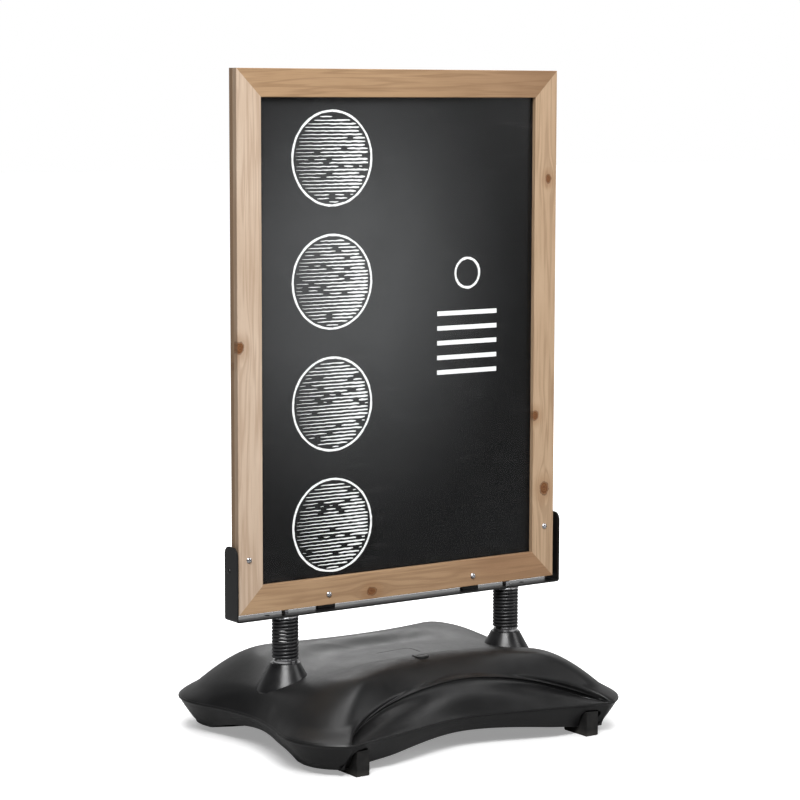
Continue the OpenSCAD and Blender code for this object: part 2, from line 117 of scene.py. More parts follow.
# ------------------------------------------------------------------ node-tree helpers
class Tree:
    """A material's node tree, with short calls for the nodes used here."""

    def __init__(self, name):
        self.mat = bpy.data.materials.new(name)
        self.mat.use_nodes = True
        self.nt = self.mat.node_tree
        self.nt.nodes.clear()
        self.out = self.nt.nodes.new("ShaderNodeOutputMaterial")
        self.coord = self.nt.nodes.new("ShaderNodeTexCoord").outputs["Object"]

    def node(self, kind, **values):
        n = self.nt.nodes.new(kind)
        for k, v in values.items():
            setattr(n, k, v)
        return n

    def put(self, socket, value):
        if isinstance(value, bpy.types.NodeSocket):
            self.nt.links.new(value, socket)
        else:
            socket.default_value = value

    def math(self, op, x, y=0.0, z=0.0, clamp=False):
        n = self.node("ShaderNodeMath", operation=op, use_clamp=clamp)
        self.put(n.inputs[0], x)
        self.put(n.inputs[1], y)
        self.put(n.inputs[2], z)
        return n.outputs[0]

    def vmath(self, op, x, y=(0, 0, 0)):
        n = self.node("ShaderNodeVectorMath", operation=op)
        self.put(n.inputs[0], x)
        self.put(n.inputs[1], y)
        return n.outputs["Value"] if op in ("DISTANCE", "LENGTH", "DOT_PRODUCT") else n.outputs["Vector"]

    def mapping(self, vec, loc=(0, 0, 0), rot=(0, 0, 0), scale=(1, 1, 1)):
        n = self.node("ShaderNodeMapping")
        self.put(n.inputs["Vector"], vec)
        n.inputs["Location"].default_value = loc
        n.inputs["Rotation"].default_value = rot
        n.inputs["Scale"].default_value = scale
        return n.outputs[0]

    def noise(self, vec, scale, detail=4.0, rough=0.55, distortion=0.0, out="Fac"):
        n = self.node("ShaderNodeTexNoise")
        self.put(n.inputs["Vector"], vec)
        n.inputs["Scale"].default_value = scale
        n.inputs["Detail"].default_value = detail
        n.inputs["Roughness"].default_value = rough
        n.inputs["Distortion"].default_value = distortion
        return n.outputs[out]

    def voronoi(self, vec, scale, feature="F1"):
        n = self.node("ShaderNodeTexVoronoi", feature=feature)
        self.put(n.inputs["Vector"], vec)
        n.inputs["Scale"].default_value = scale
        return n.outputs["Distance"]

    def ramp(self, fac, stops, mode="LINEAR"):
        n = self.node("ShaderNodeValToRGB")
        n.color_ramp.interpolation = mode
        el = n.color_ramp.elements
        while len(el) > 1:
            el.remove(el[-1])
        el[0].position, el[0].color = stops[0][0], stops[0][1]
        for p, c in stops[1:]:
            x = el.new(p)
            x.color = c
        self.put(n.inputs["Fac"], fac)
        return n.outputs["Color"]

    def range(self, v, a0, a1, b0, b1, smooth=False):
        n = self.node("ShaderNodeMapRange")
        if smooth:
            n.interpolation_type = "SMOOTHSTEP"
        self.put(n.inputs["Value"], v)
        n.inputs["From Min"].default_value = a0
        n.inputs["From Max"].default_value = a1
        n.inputs["To Min"].default_value = b0
        n.inputs["To Max"].default_value = b1
        return n.outputs["Result"]

    def mix(self, fac, c0, c1, blend="MIX"):
        n = self.node("ShaderNodeMix", data_type="RGBA", blend_type=blend)
        self.put(n.inputs["Factor"], fac)
        self.put(n.inputs["A"] if False else n.inputs[6], c0)
        self.put(n.inputs[7], c1)
        return n.outputs[2]

    def bump(self, height, strength, distance):
        n = self.node("ShaderNodeBump")
        n.inputs["Strength"].default_value = strength
        n.inputs["Distance"].default_value = distance
        self.put(n.inputs["Height"], height)
        return n.outputs["Normal"]

    def separate(self, vec):
        n = self.node("ShaderNodeSeparateXYZ")
        self.put(n.inputs[0], vec)
        return n.outputs

    def combine(self, x, y, z):
        n = self.node("ShaderNodeCombineXYZ")
        self.put(n.inputs[0], x)
        self.put(n.inputs[1], y)
        self.put(n.inputs[2], z)
        return n.outputs[0]

    def principled(self, **values):
        n = self.node("ShaderNodeBsdfPrincipled")
        names = {"color": "Base Color", "metallic": "Metallic", "rough": "Roughness", "normal": "Normal",
                 "specular": "Specular IOR Level", "coat": "Coat Weight", "coat_rough": "Coat Roughness",
                 "ior": "IOR", "alpha": "Alpha", "sheen": "Sheen Weight",
                 "glow_color": "Emission Color", "glow": "Emission Strength"}
        for k, v in values.items():
            self.put(n.inputs[names[k]], v)
        return n

    def finish(self, shader):
        self.nt.links.new(shader.outputs[0] if hasattr(shader, "outputs") else shader, self.out.inputs["Surface"])
        return self.mat


def dress(obj, mat):
    obj.data.materials.clear()
    obj.data.materials.append(mat)


def grey(v):
    return (v, v, v, 1.0)


# ------------------------------------------------------------------ materials
def moulded_plastic(name, base, rough, grain=0.25, specular=0.5, dust=0.5):
    """Black blow-moulded polyethylene: a fine sandblasted grain, slow colour drift, faint scuffs on top."""
    t = Tree(name)
    fine = t.noise(t.coord, 900.0, 2.0, 0.5)
    cell = t.voronoi(t.coord, 700.0)
    slow = t.noise(t.coord, 7.0, 5.0, 0.6)
    patch = t.noise(t.coord, 28.0, 6.0, 0.65, 0.4)
    c = t.mix(t.range(slow, 0.3, 0.7, 0.0, 1.0), (base[0] * 0.8, base[1] * 0.8, base[2] * 0.8, 1),
              (base[0] * 1.25, base[1] * 1.25, base[2] * 1.27, 1))
    # dust that has settled where the surface looks upwards
    nz = t.separate(t.node("ShaderNodeNewGeometry").outputs["Normal"])[2]
    settle = t.math("MULTIPLY", t.range(nz, 0.35, 1.0, 0.0, 1.0, True), t.range(patch, 0.35, 0.75, 0.25, 1.0))
    c = t.mix(t.math("MULTIPLY", settle, 0.16 * dust), c, lin(150, 146, 140))
    # thin scratches
    sc = t.noise(t.mapping(t.coord, rot=(0.2, 0.3, 0.6), scale=(4, 120, 60)), 6.0, 3.0, 0.5)
    scratch = t.range(sc, 0.70, 0.74, 0.0, 1.0)
    c = t.mix(t.math("MULTIPLY", scratch, 0.05), c, lin(120, 120, 120))
    ro = t.math("ADD", t.range(patch, 0.3, 0.7, rough - 0.05, rough + 0.06), t.math("MULTIPLY", fine, 0.05))
    h = t.math("ADD", t.math("MULTIPLY", fine, 0.6), t.math("MULTIPLY", cell, 0.4))
    n = t.bump(h, grain, 0.0006)
    return t.finish(t.principled(color=c, rough=ro, normal=n, specular=specular))


def rubber(name):
    t = Tree(name)
    crumbs = t.voronoi(t.coord, 420.0)
    slow = t.noise(t.coord, 60.0, 5.0, 0.6)
    c = t.mix(t.range(slow, 0.35, 0.7, 0, 1), lin(24, 24, 24), lin(44, 43, 42))
    c = t.mix(t.range(t.voronoi(t.coord, 260.0), 0.0, 0.16, 0.25, 0.0), c, lin(78, 76, 73))
    dusty = t.range(t.separate(t.coord)[2], 0.0, 0.012, 0.5, 0.0)
    c = t.mix(t.math("MULTIPLY", dusty, slow), c, lin(110, 105, 98))
    h = t.math("ADD", t.math("MULTIPLY", crumbs, 0.5), t.noise(t.coord, 600.0, 3.0, 0.6))
    return t.finish(t.principled(color=c, rough=t.range(slow, 0.3, 0.7, 0.72, 0.9), normal=t.bump(h, 0.6, 0.0010), specular=0.35))


def cone_plastic(name):
    """Injection-moulded cone: glossier than the tank, with faint turning marks round it."""
    t = Tree(name)
    x, y, z = t.separate(t.coord)
    fine = t.noise(t.coord, 700.0, 2.0, 0.5)
    slow = t.noise(t.coord, 40.0, 4.0, 0.6)
    rings = t.noise(t.combine(0.0, 0.0, t.math("MULTIPLY", z, 1600.0)), 1.0, 2.0, 0.6)
    c = t.mix(t.range(slow, 0.3, 0.7, 0, 1), lin(20, 20, 21), lin(36, 36, 37))
    h = t.math("ADD", t.math("MULTIPLY", rings, 0.6), t.math("MULTIPLY", fine, 0.4))
    ro = t.math("ADD", t.range(slow, 0.3, 0.7, 0.24, 0.36), t.math("MULTIPLY", rings, 0.05))
    return t.finish(t.principled(color=c, rough=ro, normal=t.bump(h, 0.12, 0.0004), specular=0.55))


def metal(name, bright, rough, brushed=0.0, spot=0.15):
    """Zinc plate: spangled brightness, slight blue-yellow passivation, fine brushing."""
    t = Tree(name)
    blotch = t.noise(t.coord, 120.0, 5.0, 0.6)
    fine = t.noise(t.mapping(t.coord, scale=(1, 1, 9)), 900.0, 3.0, 0.5)
    c = t.mix(t.range(blotch, 0.3, 0.7, 0, 1), lin(*[v * 0.82 for v in bright]), lin(*bright))
    c = t.mix(t.math("MULTIPLY", t.range(t.noise(t.coord, 300.0, 3.0), 0.55, 0.75, 0.0, 1.0), spot), c, lin(120, 105, 82))
    ro = t.math("ADD", t.range(blotch, 0.3, 0.7, rough - 0.06, rough + 0.08), t.math("MULTIPLY", fine, 0.06))
    return t.finish(t.principled(color=c, metallic=1.0, rough=ro, normal=t.bump(fine, 0.10 + brushed, 0.0003)))


def spring_steel(name, z0, z1):
    """Black-coated coil. The coating is worn through to bright steel on the ground end turns and in scattered patches.
    """
    t = Tree(name)
    x, y, z = t.separate(t.coord)
    wear = t.noise(t.coord, 260.0, 5.0, 0.65)
    end_hi = t.range(z, z1 - 0.0075, z1 - 0.0005, 0.0, 1.0)
    end_lo = t.range(z, z0 + 0.005, z0 + 0.0005, 0.0, 1.0)
    end = t.math("MAXIMUM", end_hi, end_lo)
    mask = t.range(t.math("ADD", t.math("MULTIPLY", end, 0.42), wear), 0.70, 0.86, 0.0, 1.0, True)
    mottled = t.noise(t.coord, 90.0, 4.0, 0.6)
    coat = t.mix(t.range(mottled, 0.3, 0.7, 0, 1), lin(26, 26, 27), lin(46, 46, 48))
    c = t.mix(mask, coat, lin(176, 176, 178))
    ro = t.range(wear, 0.3, 0.7, 0.30, 0.44)
    fine = t.noise(t.coord, 1500.0, 3.0, 0.5)
    return t.finish(t.principled(color=c, metallic=mask, rough=ro, normal=t.bump(fine, 0.18, 0.0003), specular=0.6))


def powder_coat(name):
    """Satin black powder coat: orange peel and a few small chips."""
    t = Tree(name)
    peel = t.noise(t.coord, 520.0, 2.0, 0.45)
    slow = t.noise(t.coord, 18.0, 5.0, 0.6)
    c = t.mix(t.range(slow, 0.3, 0.7, 0, 1), lin(13, 13, 14), lin(20, 20, 21))
    chips = t.range(t.noise(t.coord, 160.0, 4.0, 0.7), 0.78, 0.80, 0.0, 1.0)
    c = t.mix(t.math("MULTIPLY", chips, 0.5), c, lin(110, 108, 105))
    ro = t.range(slow, 0.3, 0.7, 0.30, 0.34)
    return t.finish(t.principled(color=c, rough=ro, normal=t.bump(peel, 0.06, 0.0003), specular=0.5))


def cast_iron(name):
    t = Tree(name)
    grain = t.noise(t.coord, 500.0, 5.0, 0.65)
    c = t.mix(t.range(grain, 0.3, 0.7, 0, 1), lin(70, 70, 71), lin(112, 111, 109))
    return t.finish(t.principled(color=c, metallic=0.85, rough=t.range(grain, 0.3, 0.7, 0.5, 0.65), normal=t.bump(grain, 0.5, 0.0008)))


def pine(name, along, pale, mid, dark, seed, knots=(), painted_side_shade=0.0, shift=0.0, fade=None):
    """Softwood with the grain running along one axis. knots are (across, along, radius) in metres on the wide face;
    fade is a second pale tone that the board drifts to along its length."""
    t = Tree(name)
    x, y, z = t.separate(t.coord)
    across, length = (x, z) if along == "z" else (z, x)
    # slow wander of the grain lines
    p = t.combine(t.math("MULTIPLY", across, 1.0), t.math("MULTIPLY", y, 1.0), t.math("MULTIPLY", length, 0.10))
    p = t.vmath("ADD", p, (seed * 1.37, seed * 0.71, seed * 2.11))
    wander = t.noise(p, 9.0, 3.0, 0.5)
    u = t.math("ADD", across, t.math("MULTIPLY", t.math("SUBTRACT", wander, 0.5), 0.050))
    # grain bends round each knot
    core = None
    for kx, kl, kr in knots:
        dx = t.math("SUBTRACT", across, kx)
        dl = t.math("SUBTRACT", length, kl)
        d2 = t.math("ADD", t.math("MULTIPLY", dx, dx), t.math("MULTIPLY", t.math("MULTIPLY", dl, dl), 0.30))
        g = t.math("EXPONENT", t.math("MULTIPLY", d2, -1.0 / (kr * 2.6) ** 2))
        s = t.math("MULTIPLY", g, t.math("MULTIPLY", t.math("TANH", t.math("MULTIPLY", dx, 1.0 / kr)), kr * 1.9))
        u = t.math("SUBTRACT", u, s)
        wob = t.math("MULTIPLY", t.math("SUBTRACT", t.noise(t.coord, 150.0, 3.0), 0.5), kr * 0.7)
        dist = t.math("ADD", t.math("SQRT", t.math("ADD", t.math("MULTIPLY", dx, dx), t.math("MULTIPLY", t.math("MULTIPLY", dl, dl), 0.62))), wob)
        k = t.math("MULTIPLY", dist, 1.0 / kr)
        core = k if core is None else t.math("MINIMUM", core, k)
    q = t.combine(t.math("MULTIPLY", u, 1.0), t.math("MULTIPLY", y, 0.8), t.math("MULTIPLY", length, 0.035))
    q = t.vmath("ADD", q, (seed * 3.1, seed * 1.9, seed * 0.77))
    rings = t.noise(q, 85.0, 2.0, 0.5, 0.15)
    bands = t.math("SINE", t.math("MULTIPLY", rings, 26.0))
    bands = t.range(bands, -1.0, 1.0, 0.0, 1.0)
    late = t.math("POWER", bands, 2.2)
    fibre = t.noise(t.vmath("ADD", t.combine(t.math("MULTIPLY", across, 1.0), y, t.math("MULTIPLY", length, 0.018)), (seed, 0, seed)), 900.0, 3.0, 0.6)
    streak = t.noise(t.vmath("ADD", t.combine(across, y, t.math("MULTIPLY", length, 0.03)), (0, seed * 5.0, 0)), 210.0, 4.0, 0.6)
    cloud = t.noise(t.vmath("ADD", t.combine(across, y, t.math("MULTIPLY", length, 0.35)), (seed * 2.0, 0, 0)), 11.0, 4.0, 0.55)
    base = t.mix(t.range(cloud, 0.3, 0.7, 0.0, 1.0), pale, mid)
    if fade is not None:
        base = t.mix(t.range(length, fade[0], fade[1], 0.0, 1.0, True), base, t.mix(t.range(cloud, 0.3, 0.7, 0.0, 1.0), fade[2], fade[3]))
    c = t.mix(t.math("MULTIPLY", late, 0.42), base, dark)
    c = t.mix(t.range(fibre, 0.55, 0.80, 0.0, 0.42), c, dark)
    c = t.mix(t.range(fibre, 0.20, 0.42, 0.34, 0.0), c, pale)
    c = t.mix(t.range(streak, 0.60, 0.76, 0.0, 0.40), c, dark)
    if core is not None:
        halo = t.range(core, 0.9, 3.4, 1.0, 0.0, True)
        c = t.mix(t.math("MULTIPLY", halo, 0.38), c, lin(150, 104, 62))
        kr_ring = t.math("SINE", t.math("MULTIPLY", core, 17.0))
        heart = t.range(core, 0.75, 1.12, 1.0, 0.0, True)
        kc = t.mix(t.range(kr_ring, -1, 1, 0, 1), lin(110, 68, 38), lin(142, 94, 56))
        c = t.mix(heart, c, kc)
        rim = t.math("MULTIPLY", t.range(core, 0.85, 1.0, 0.0, 1.0, True), t.range(core, 1.0, 1.2, 1.0, 0.0, True))
        c = t.mix(t.math("MULTIPLY", rim, 0.55), c, lin(78, 47, 26))
    # painted shade: every face that doesn't look to the front or rear (the bars' edges and mitred ends) is darkened as
    # if it lay in shade
    nrm = t.separate(t.node("ShaderNodeNewGeometry").outputs["True Normal"])
    side = t.range(t.math("ABSOLUTE", nrm[1]), 0.2, 0.9, 1.0, 0.0)
    if painted_side_shade:
        c = t.mix(t.math("MULTIPLY", side, painted_side_shade), c, lin(134, 108, 84))
    ro = t.math("ADD", t.range(fibre, 0.3, 0.7, 0.50, 0.64), t.math("MULTIPLY", late, -0.06))
    h = t.math("ADD", t.math("MULTIPLY", fibre, 0.7), t.math("MULTIPLY", late, -0.35))
    return t.finish(t.principled(color=c, rough=ro, normal=t.bump(h, 0.35, 0.0007), specular=0.35))


def poster_print(name, sign):
    """Black print with a painted glare, a soft light patch standing in for light reflected off the cover sheet, and
    paper grain. sign flips the painted glare on the rear sheet.
    """
    t = Tree(name)
    x, y, z = t.separate(t.coord)
    dx = t.math("MULTIPLY", t.math("SUBTRACT", x, sign * -0.10), 2.6)
    dz = t.math("MULTIPLY", t.math("SUBTRACT", z, 0.80), 2.1)
    rad = t.math("SQRT", t.math("ADD", t.math("MULTIPLY", dx, dx), t.math("MULTIPLY", dz, dz)))
    cloud = t.noise(t.coord, 5.0, 5.0, 0.6, 0.5)
    smear = t.noise(t.mapping(t.coord, rot=(0, 0.5, 0), scale=(3, 1, 18)), 3.0, 5.0, 0.65)
    # painted reflection: a soft bright patch round one point high on the sheet, standing in for glare off the cover
    # sheet
    glow = t.math("MULTIPLY", t.range(rad, 0.0, 1.05, 1.0, 0.0, True), t.range(cloud, 0.2, 0.8, 0.8, 1.1))
    c = t.mix(glow, lin(12, 12, 13), lin(92, 92, 93))
    c = t.mix(t.range(smear, 0.55, 0.8, 0.0, 0.10), c, lin(120, 120, 120))
    grain = t.noise(t.coord, 1300.0, 2.0, 0.6)
    c = t.mix(t.range(grain, 0.55, 0.8, 0.0, 0.06), c, lin(96, 96, 96))
    return t.finish(t.principled(color=c, rough=t.range(grain, 0.3, 0.7, 0.55, 0.7), specular=0.2))


def chalk(name):
    t = Tree(name)
    g = t.noise(t.coord, 1400.0, 3.0, 0.7)
    b = t.noise(t.coord, 45.0, 4.0, 0.6)
    c = t.mix(t.range(g, 0.55, 0.85, 0.0, 0.25), lin(255, 255, 254), lin(190, 190, 190))
    c = t.mix(t.range(b, 0.35, 0.7, 0.0, 0.10), c, lin(205, 205, 205))
    # painted light: the strokes also glow by emission, so they read whiter than the lamps alone would make them
    return t.finish(t.principled(color=c, rough=t.range(g, 0.3, 0.7, 0.7, 0.9), normal=t.bump(g, 0.2, 0.0002), specular=0.2,
                                glow_color=c, glow=0.24))


def clear_sheet(name):
    """Thin anti-glare sheet: sight passes straight through, with a soft, weak gloss that Fresnel brings up at low angles."""
    t = Tree(name)
    smudge = t.noise(t.coord, 9.0, 6.0, 0.6, 0.6)
    fres = t.node("ShaderNodeFresnel")
    # the same weak Fresnel from either face: sight isn't bent here, so the far face must not reflect as if it were
    back = t.node("ShaderNodeNewGeometry").outputs["Backfacing"]
    t.put(fres.inputs["IOR"], t.math("SUBTRACT", 1.16, t.math("MULTIPLY", back, 0.298)))
    nrm = t.bump(t.noise(t.coord, 2.2, 2.0, 0.4), 0.05, 0.002)
    gl = t.node("ShaderNodeBsdfGlossy")
    gl.inputs["Color"].default_value = (1, 1, 1, 1)
    t.put(gl.inputs["Roughness"], t.range(smudge, 0.3, 0.7, 0.22, 0.28))
    t.put(gl.inputs["Normal"], nrm)
    tr = t.node("ShaderNodeBsdfTransparent")
    tr.inputs["Color"].default_value = (0.985, 0.99, 0.99, 1)
    mixn = t.node("ShaderNodeMixShader")
    t.put(mixn.inputs[0], fres.outputs[0])
    t.nt.links.new(tr.outputs[0], mixn.inputs[1])
    t.nt.links.new(gl.outputs[0], mixn.inputs[2])
    return t.finish(mixn)


def board(name):
    t = Tree(name)
    g = t.noise(t.coord, 700.0, 3.0, 0.6)
    s = t.noise(t.coord, 12.0, 4.0, 0.6)
    c = t.mix(t.range(s, 0.3, 0.7, 0, 1), lin(222, 222, 220), lin(238, 238, 236))
    return t.finish(t.principled(color=c, rough=t.range(g, 0.3, 0.7, 0.55, 0.7), normal=t.bump(g, 0.2, 0.0004)))


MAT_TANK = moulded_plastic("tank_plastic", (0.0062, 0.0062, 0.0065), 0.37, 0.20, 0.5, 0.05)
MAT_CAP = moulded_plastic("cap_plastic", (0.010, 0.010, 0.0105), 0.34, 0.12, 0.5, 0.1)
MAT_RUBBER = rubber("foot_rubber")
MAT_CONE = cone_plastic("cone_plastic")
MAT_ZINC = metal("zinc_steel", (226, 226, 230), 0.24)
MAT_RING = metal("turned_steel", (222, 222, 224), 0.20, 0.05, 0.05)
MAT_CRADLE = powder_coat("cradle_black")
MAT_IRON = cast_iron("plug_iron")
MAT_BOARD = board("board_white")
MAT_CLEAR = clear_sheet("clear_sheet")
MAT_CHALK = chalk("poster_chalk")

PALE, MID, DARK = lin(226, 203, 180), lin(208, 182, 157), lin(176, 144, 117)
T_PALE, T_MID, T_DARK = lin(196, 161, 124), lin(178, 143, 107), lin(142, 108, 76)
B_PALE, B_MID, B_DARK = lin(200, 166, 130), lin(182, 147, 112), lin(144, 110, 80)
R_PALE, R_MID, R_DARK = lin(210, 180, 148), lin(192, 160, 128), lin(154, 120, 90)
half_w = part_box("front_stile_right")[1][0]
z_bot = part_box("front_rail_bottom")[0][2]
z_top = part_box("front_rail_top")[1][2]
prof = 0.048


def zz(f):
    """height at a share of the frame's height, from the bottom"""
    return z_bot + (z_top - z_bot) * f


# the number after each bar's knots sets how much painted shade its edge faces get
WOODS = {
    "front_stile_left": pine("pine_a", "z", PALE, MID, DARK, 1.0, [(-half_w + 0.004, zz(0.495), 0.008)], 0.55),
    "rear_stile_left": pine("pine_b", "z", lin(190, 164, 136), lin(172, 144, 116), lin(136, 104, 78), 2.3,
                            [(-half_w + 0.006, zz(0.46), 0.007), (-half_w + 0.010, zz(0.62), 0.004)], 0.75),
    "front_stile_right": pine("pine_c", "z", R_PALE, R_MID, R_DARK, 3.7,
                              [(half_w - 0.022, zz(0.178), 0.0095), (half_w - 0.044, zz(0.325), 0.007), (half_w - 0.018, zz(0.79), 0.0060)], 0.5),
    "rear_stile_right": pine("pine_d", "z", R_PALE, R_MID, R_DARK, 4.9, [(half_w - 0.02, zz(0.6), 0.009)], 0.6),
    "front_rail_top": pine("pine_e", "x", T_PALE, T_MID, T_DARK, 5.3, [], 0.5, 0.0,
                           (-0.05, 0.30, lin(176, 141, 107), lin(156, 121, 89))),
    "rear_rail_top": pine("pine_f", "x", T_PALE, T_MID, T_DARK, 6.1, [(z_top - 0.02, -0.12, 0.008)], 0.5),
    "front_rail_bottom": pine("pine_g", "x", B_PALE, B_MID, B_DARK, 7.7, [(z_bot + 0.014, -0.065, 0.0075)], 0.5, 0.0,
                              (-0.05, 0.30, lin(184, 146, 110), lin(162, 124, 92))),
    "rear_rail_bottom": pine("pine_h", "x", B_PALE, B_MID, B_DARK, 8.9, [(z_bot + 0.02, 0.1, 0.008)], 0.5),
}


# ------------------------------------------------------------------ the tank, from the same rules as the CAD, much finer
BELT = [(305, 0), (309, 45), (318, 90), (330, 130), (336, 165), (331, 200), (315, 230), (292, 253), (272, 263), (250, 257),
        (200, 245), (120, 225), (50, 207), (0, 201)]
BN = len(BELT) - 1
BELT_Z, RIDGE_Z, VALLEY_Z = 58.0, 152.0, 137.0
S_ARCH = 8.0 / BN


def clamp01(v):
    return max(0.0, min(1.0, v))


def sstep(a0, b0, v):
    t = clamp01((v - a0) / (b0 - a0))
    return t * t * (3 - 2 * t)


def mixv(a0, b0, t):
    return a0 * (1 - t) + b0 * t


def qp(i):
    if i < 0:
        return (BELT[-i][0], -BELT[-i][1])
    if i > BN:
        return (-BELT[2 * BN - i][0], BELT[2 * BN - i][1])
    return BELT[i]


def belt(s):
    f = s * BN
    i = min(BN - 1, int(math.floor(f)))
    t = f - i
    A, B, C, D = (np.array(qp(i + k), float) for k in (-1, 0, 1, 2))
    return 0.5 * ((2 * B) + (C - A) * t + (2 * A - 5 * B + 4 * C - D) * t * t + (3 * B - A - 3 * C + D) * t ** 3)


def belt_n(s):
    ee = 0.004
    d = belt(min(1, s + ee)) - belt(max(0, s - ee))
    if s < 1e-6:
        d = np.array([0.0, 1.0])
    if s > 1 - 1e-6:
        d = np.array([-1.0, 0.0])
    d = d / np.linalg.norm(d)
    return np.array([d[1], -d[0]])


def arch_y(x):
    return 188 + 48 * (x / 250.0) ** 3.5


def arch_z(x):
    return 122 - 66.5 * (x / 275.0) ** 1.7


def on_front(s):
    return sstep(S_ARCH - 0.04, S_ARCH + 0.11, s)


def zin(x, y):
    v = VALLEY_Z - 22 * (abs(x) / 236.0) ** 2.6
    rr = RIDGE_Z - 26 * (abs(x) / 300.0) ** 1.8
    return v + (rr - v) * sstep(50, 100, abs(y))


def spline_through(pts, per):
    """Catmull-Rom through (inset, height) points, held to the first and last."""
    pts = [np.array(p, float) for p in pts]
    out = []
    for i in range(len(pts) - 1):
        p0 = pts[i - 1] if i else 2 * pts[0] - pts[1]
        p3 = pts[i + 2] if i + 2 < len(pts) else 2 * pts[-1] - pts[-2]
        p1, p2 = pts[i], pts[i + 1]
        # centripetal-like damping keeps short spans from overshooting
        l0, l1, l2 = (max(1e-3, float(np.linalg.norm(q))) for q in (p1 - p0, p2 - p1, p3 - p2))
        m1 = (p2 - p0) / (l0 + l1) * l1
        m2 = (p3 - p1) / (l1 + l2) * l1
        for k in range(per):
            t = k / per
            h1, h2 = 2 * t ** 3 - 3 * t * t + 1, t ** 3 - 2 * t * t + t
            h3, h4 = -2 * t ** 3 + 3 * t * t, t ** 3 - t * t
            out.append(h1 * p1 + h2 * m1 + h3 * p2 + h4 * m2)
    out.append(pts[-1])
    return out


BOT_A = [0.97, 0.88, 0.75, 0.62, 0.5, 0.4, 0.31, 0.23, 0.16, 0.10, 0.06, 0.03, 0.012]
TOP_T = [k / 52.0 for k in range(1, 52)]


def profile(s):
    """Every ring's point at parameter s: bottom middle, skirt, parting line, wall, ridge, valley middle."""
    b, n, f = belt(s), belt_n(s), on_front(s)
    x, y = float(b[0]), float(b[1])
    si = mixv(mixv(14, 30, sstep(60, 150, y)), 6, f * sstep(262, 150, x))
    zb = 10 + 20 * clamp01(1 - (x / 240.0) ** 2) if s > S_ARCH else 10 + 24 * clamp01(1 - (y / 135.0) ** 2)
    ai = mixv(3, max(3, y - arch_y(min(272, x))), f)
    ah = max(BELT_Z + 3, arch_z(min(272, max(0.0, x))) if s > S_ARCH else 0)
    rd = mixv(mixv(30, 133, sstep(60, 165, y)), 107, sstep(S_ARCH - 0.12, S_ARCH + 0.18, s))
    pts = []
    p0 = b - n * (si + 6)
    for a0 in BOT_A:
        q = p0 * (1 - a0)
        pts.append((q[0], q[1], mixv(zb, 46, sstep(0.12, 0.75, a0))))
    # the skirt is set in 1 mm under the parting line's flange
    for i, zv in spline_through([(si + 6, zb), (si + 1.2, zb + 1.6), (si, zb + 5), (si * 0.80, zb + 12),
                                 (si * 0.35 + 1.0, mixv(zb, BELT_Z, 0.62)), (2.2, BELT_Z - 3.4)], 4):
        p = b - n * i
        pts.append((p[0], p[1], zv))
    for i, zv in ((0.9, BELT_Z - 2.6), (0.25, BELT_Z - 1.9), (0.0, BELT_Z - 1.0), (0.05, BELT_Z), (0.35, BELT_Z + 0.8)):
        p = b - n * i
        pts.append((p[0], p[1], zv))
    lip = mixv(1.0, 5.0, f * sstep(266, 230, x))
    for i, zv in spline_through([(0.9, BELT_Z + 1.3), (mixv(1.5, ai * 0.5, f), mixv(BELT_Z + 2, mixv(BELT_Z, ah, 0.52), f)),
                                 (mixv(2.2, ai + 4.5, f), ah - lip - mixv(0.0, 2.5, f)),
                                 (mixv(2.6, ai + 3.2, f), ah - lip * 0.5), (ai, ah)], 4)[1:]:
        p = b - n * i
        pts.append((p[0], p[1], zv))
    p0 = b - n * ai
    l0 = float(np.linalg.norm(p0))
    for t in TOP_T:
        a0 = t ** 1.75
        d = a0 * l0
        q = p0 * (1 - a0)
        ff = 1 - (1 - clamp01(d / rd)) ** 1.8
        pts.append((q[0], q[1], mixv(ah, zin(q[0], q[1]), ff)))
    return pts


def tank_mesh(nq):
    quarter = [profile(k / nq) for k in range(nq + 1)]
    m_rings = len(quarter[0])
    n = 4 * nq
    grid = np.zeros((m_rings, n, 3))
    for k in range(m_rings):
        for j in range(n):
            q, rj = divmod(j, nq)
            p = quarter[rj if q % 2 == 0 else nq - rj][k]
            sxy = ((1, 1), (-1, 1), (-1, -1), (1, -1))[q]
            grid[k, j] = (p[0] * sxy[0], p[1] * sxy[1], p[2])
    # the top is drawn out smooth round the lobes: each ring is blended with its own running mean, more so away from the lip
    first = m_rings - len(TOP_T)
    taps = np.exp(-0.5 * (np.arange(-36, 37) / 12.0) ** 2)
    taps /= taps.sum()
    soft = np.zeros_like(grid)
    for i, wgt in zip(range(-36, 37), taps):
        soft += wgt * np.roll(grid, i, axis=1)
    for k in range(first, m_rings):
        away = np.linalg.norm(grid[k, :, :2] - grid[first - 1, :, :2], axis=1)
        f = np.clip(away / 22.0, 0, 1)
        f = (f * f * (3 - 2 * f))[:, None]
        grid[k] = grid[k] * (1 - f) + soft[k] * f
    # held just inside the designed tank's own box
    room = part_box("base_tank")[1]
    for ax in (0, 1):
        grid[:, :, ax] *= min(1.0, (room[ax] / MM - 0.05) / np.abs(grid[:, :, ax]).max())
    verts = [tuple(v) for v in grid.reshape(-1, 3)]
    lo, hi = len(verts), len(verts) + 1
    verts += [(0, 0, 46.0), (0, 0, VALLEY_Z)]
    faces = []
    for k in range(m_rings - 1):
        for j in range(n):
            j2 = (j + 1) % n
            faces.append((k * n + j, k * n + j2, (k + 1) * n + j2, (k + 1) * n + j))
    for j in range(n):
        j2 = (j + 1) % n
        faces.append((lo, j2, j))
        faces.append((hi, (m_rings - 1) * n + j, (m_rings - 1) * n + j2))
    return [(x * MM, y * MM, z * MM) for x, y, z in verts], faces


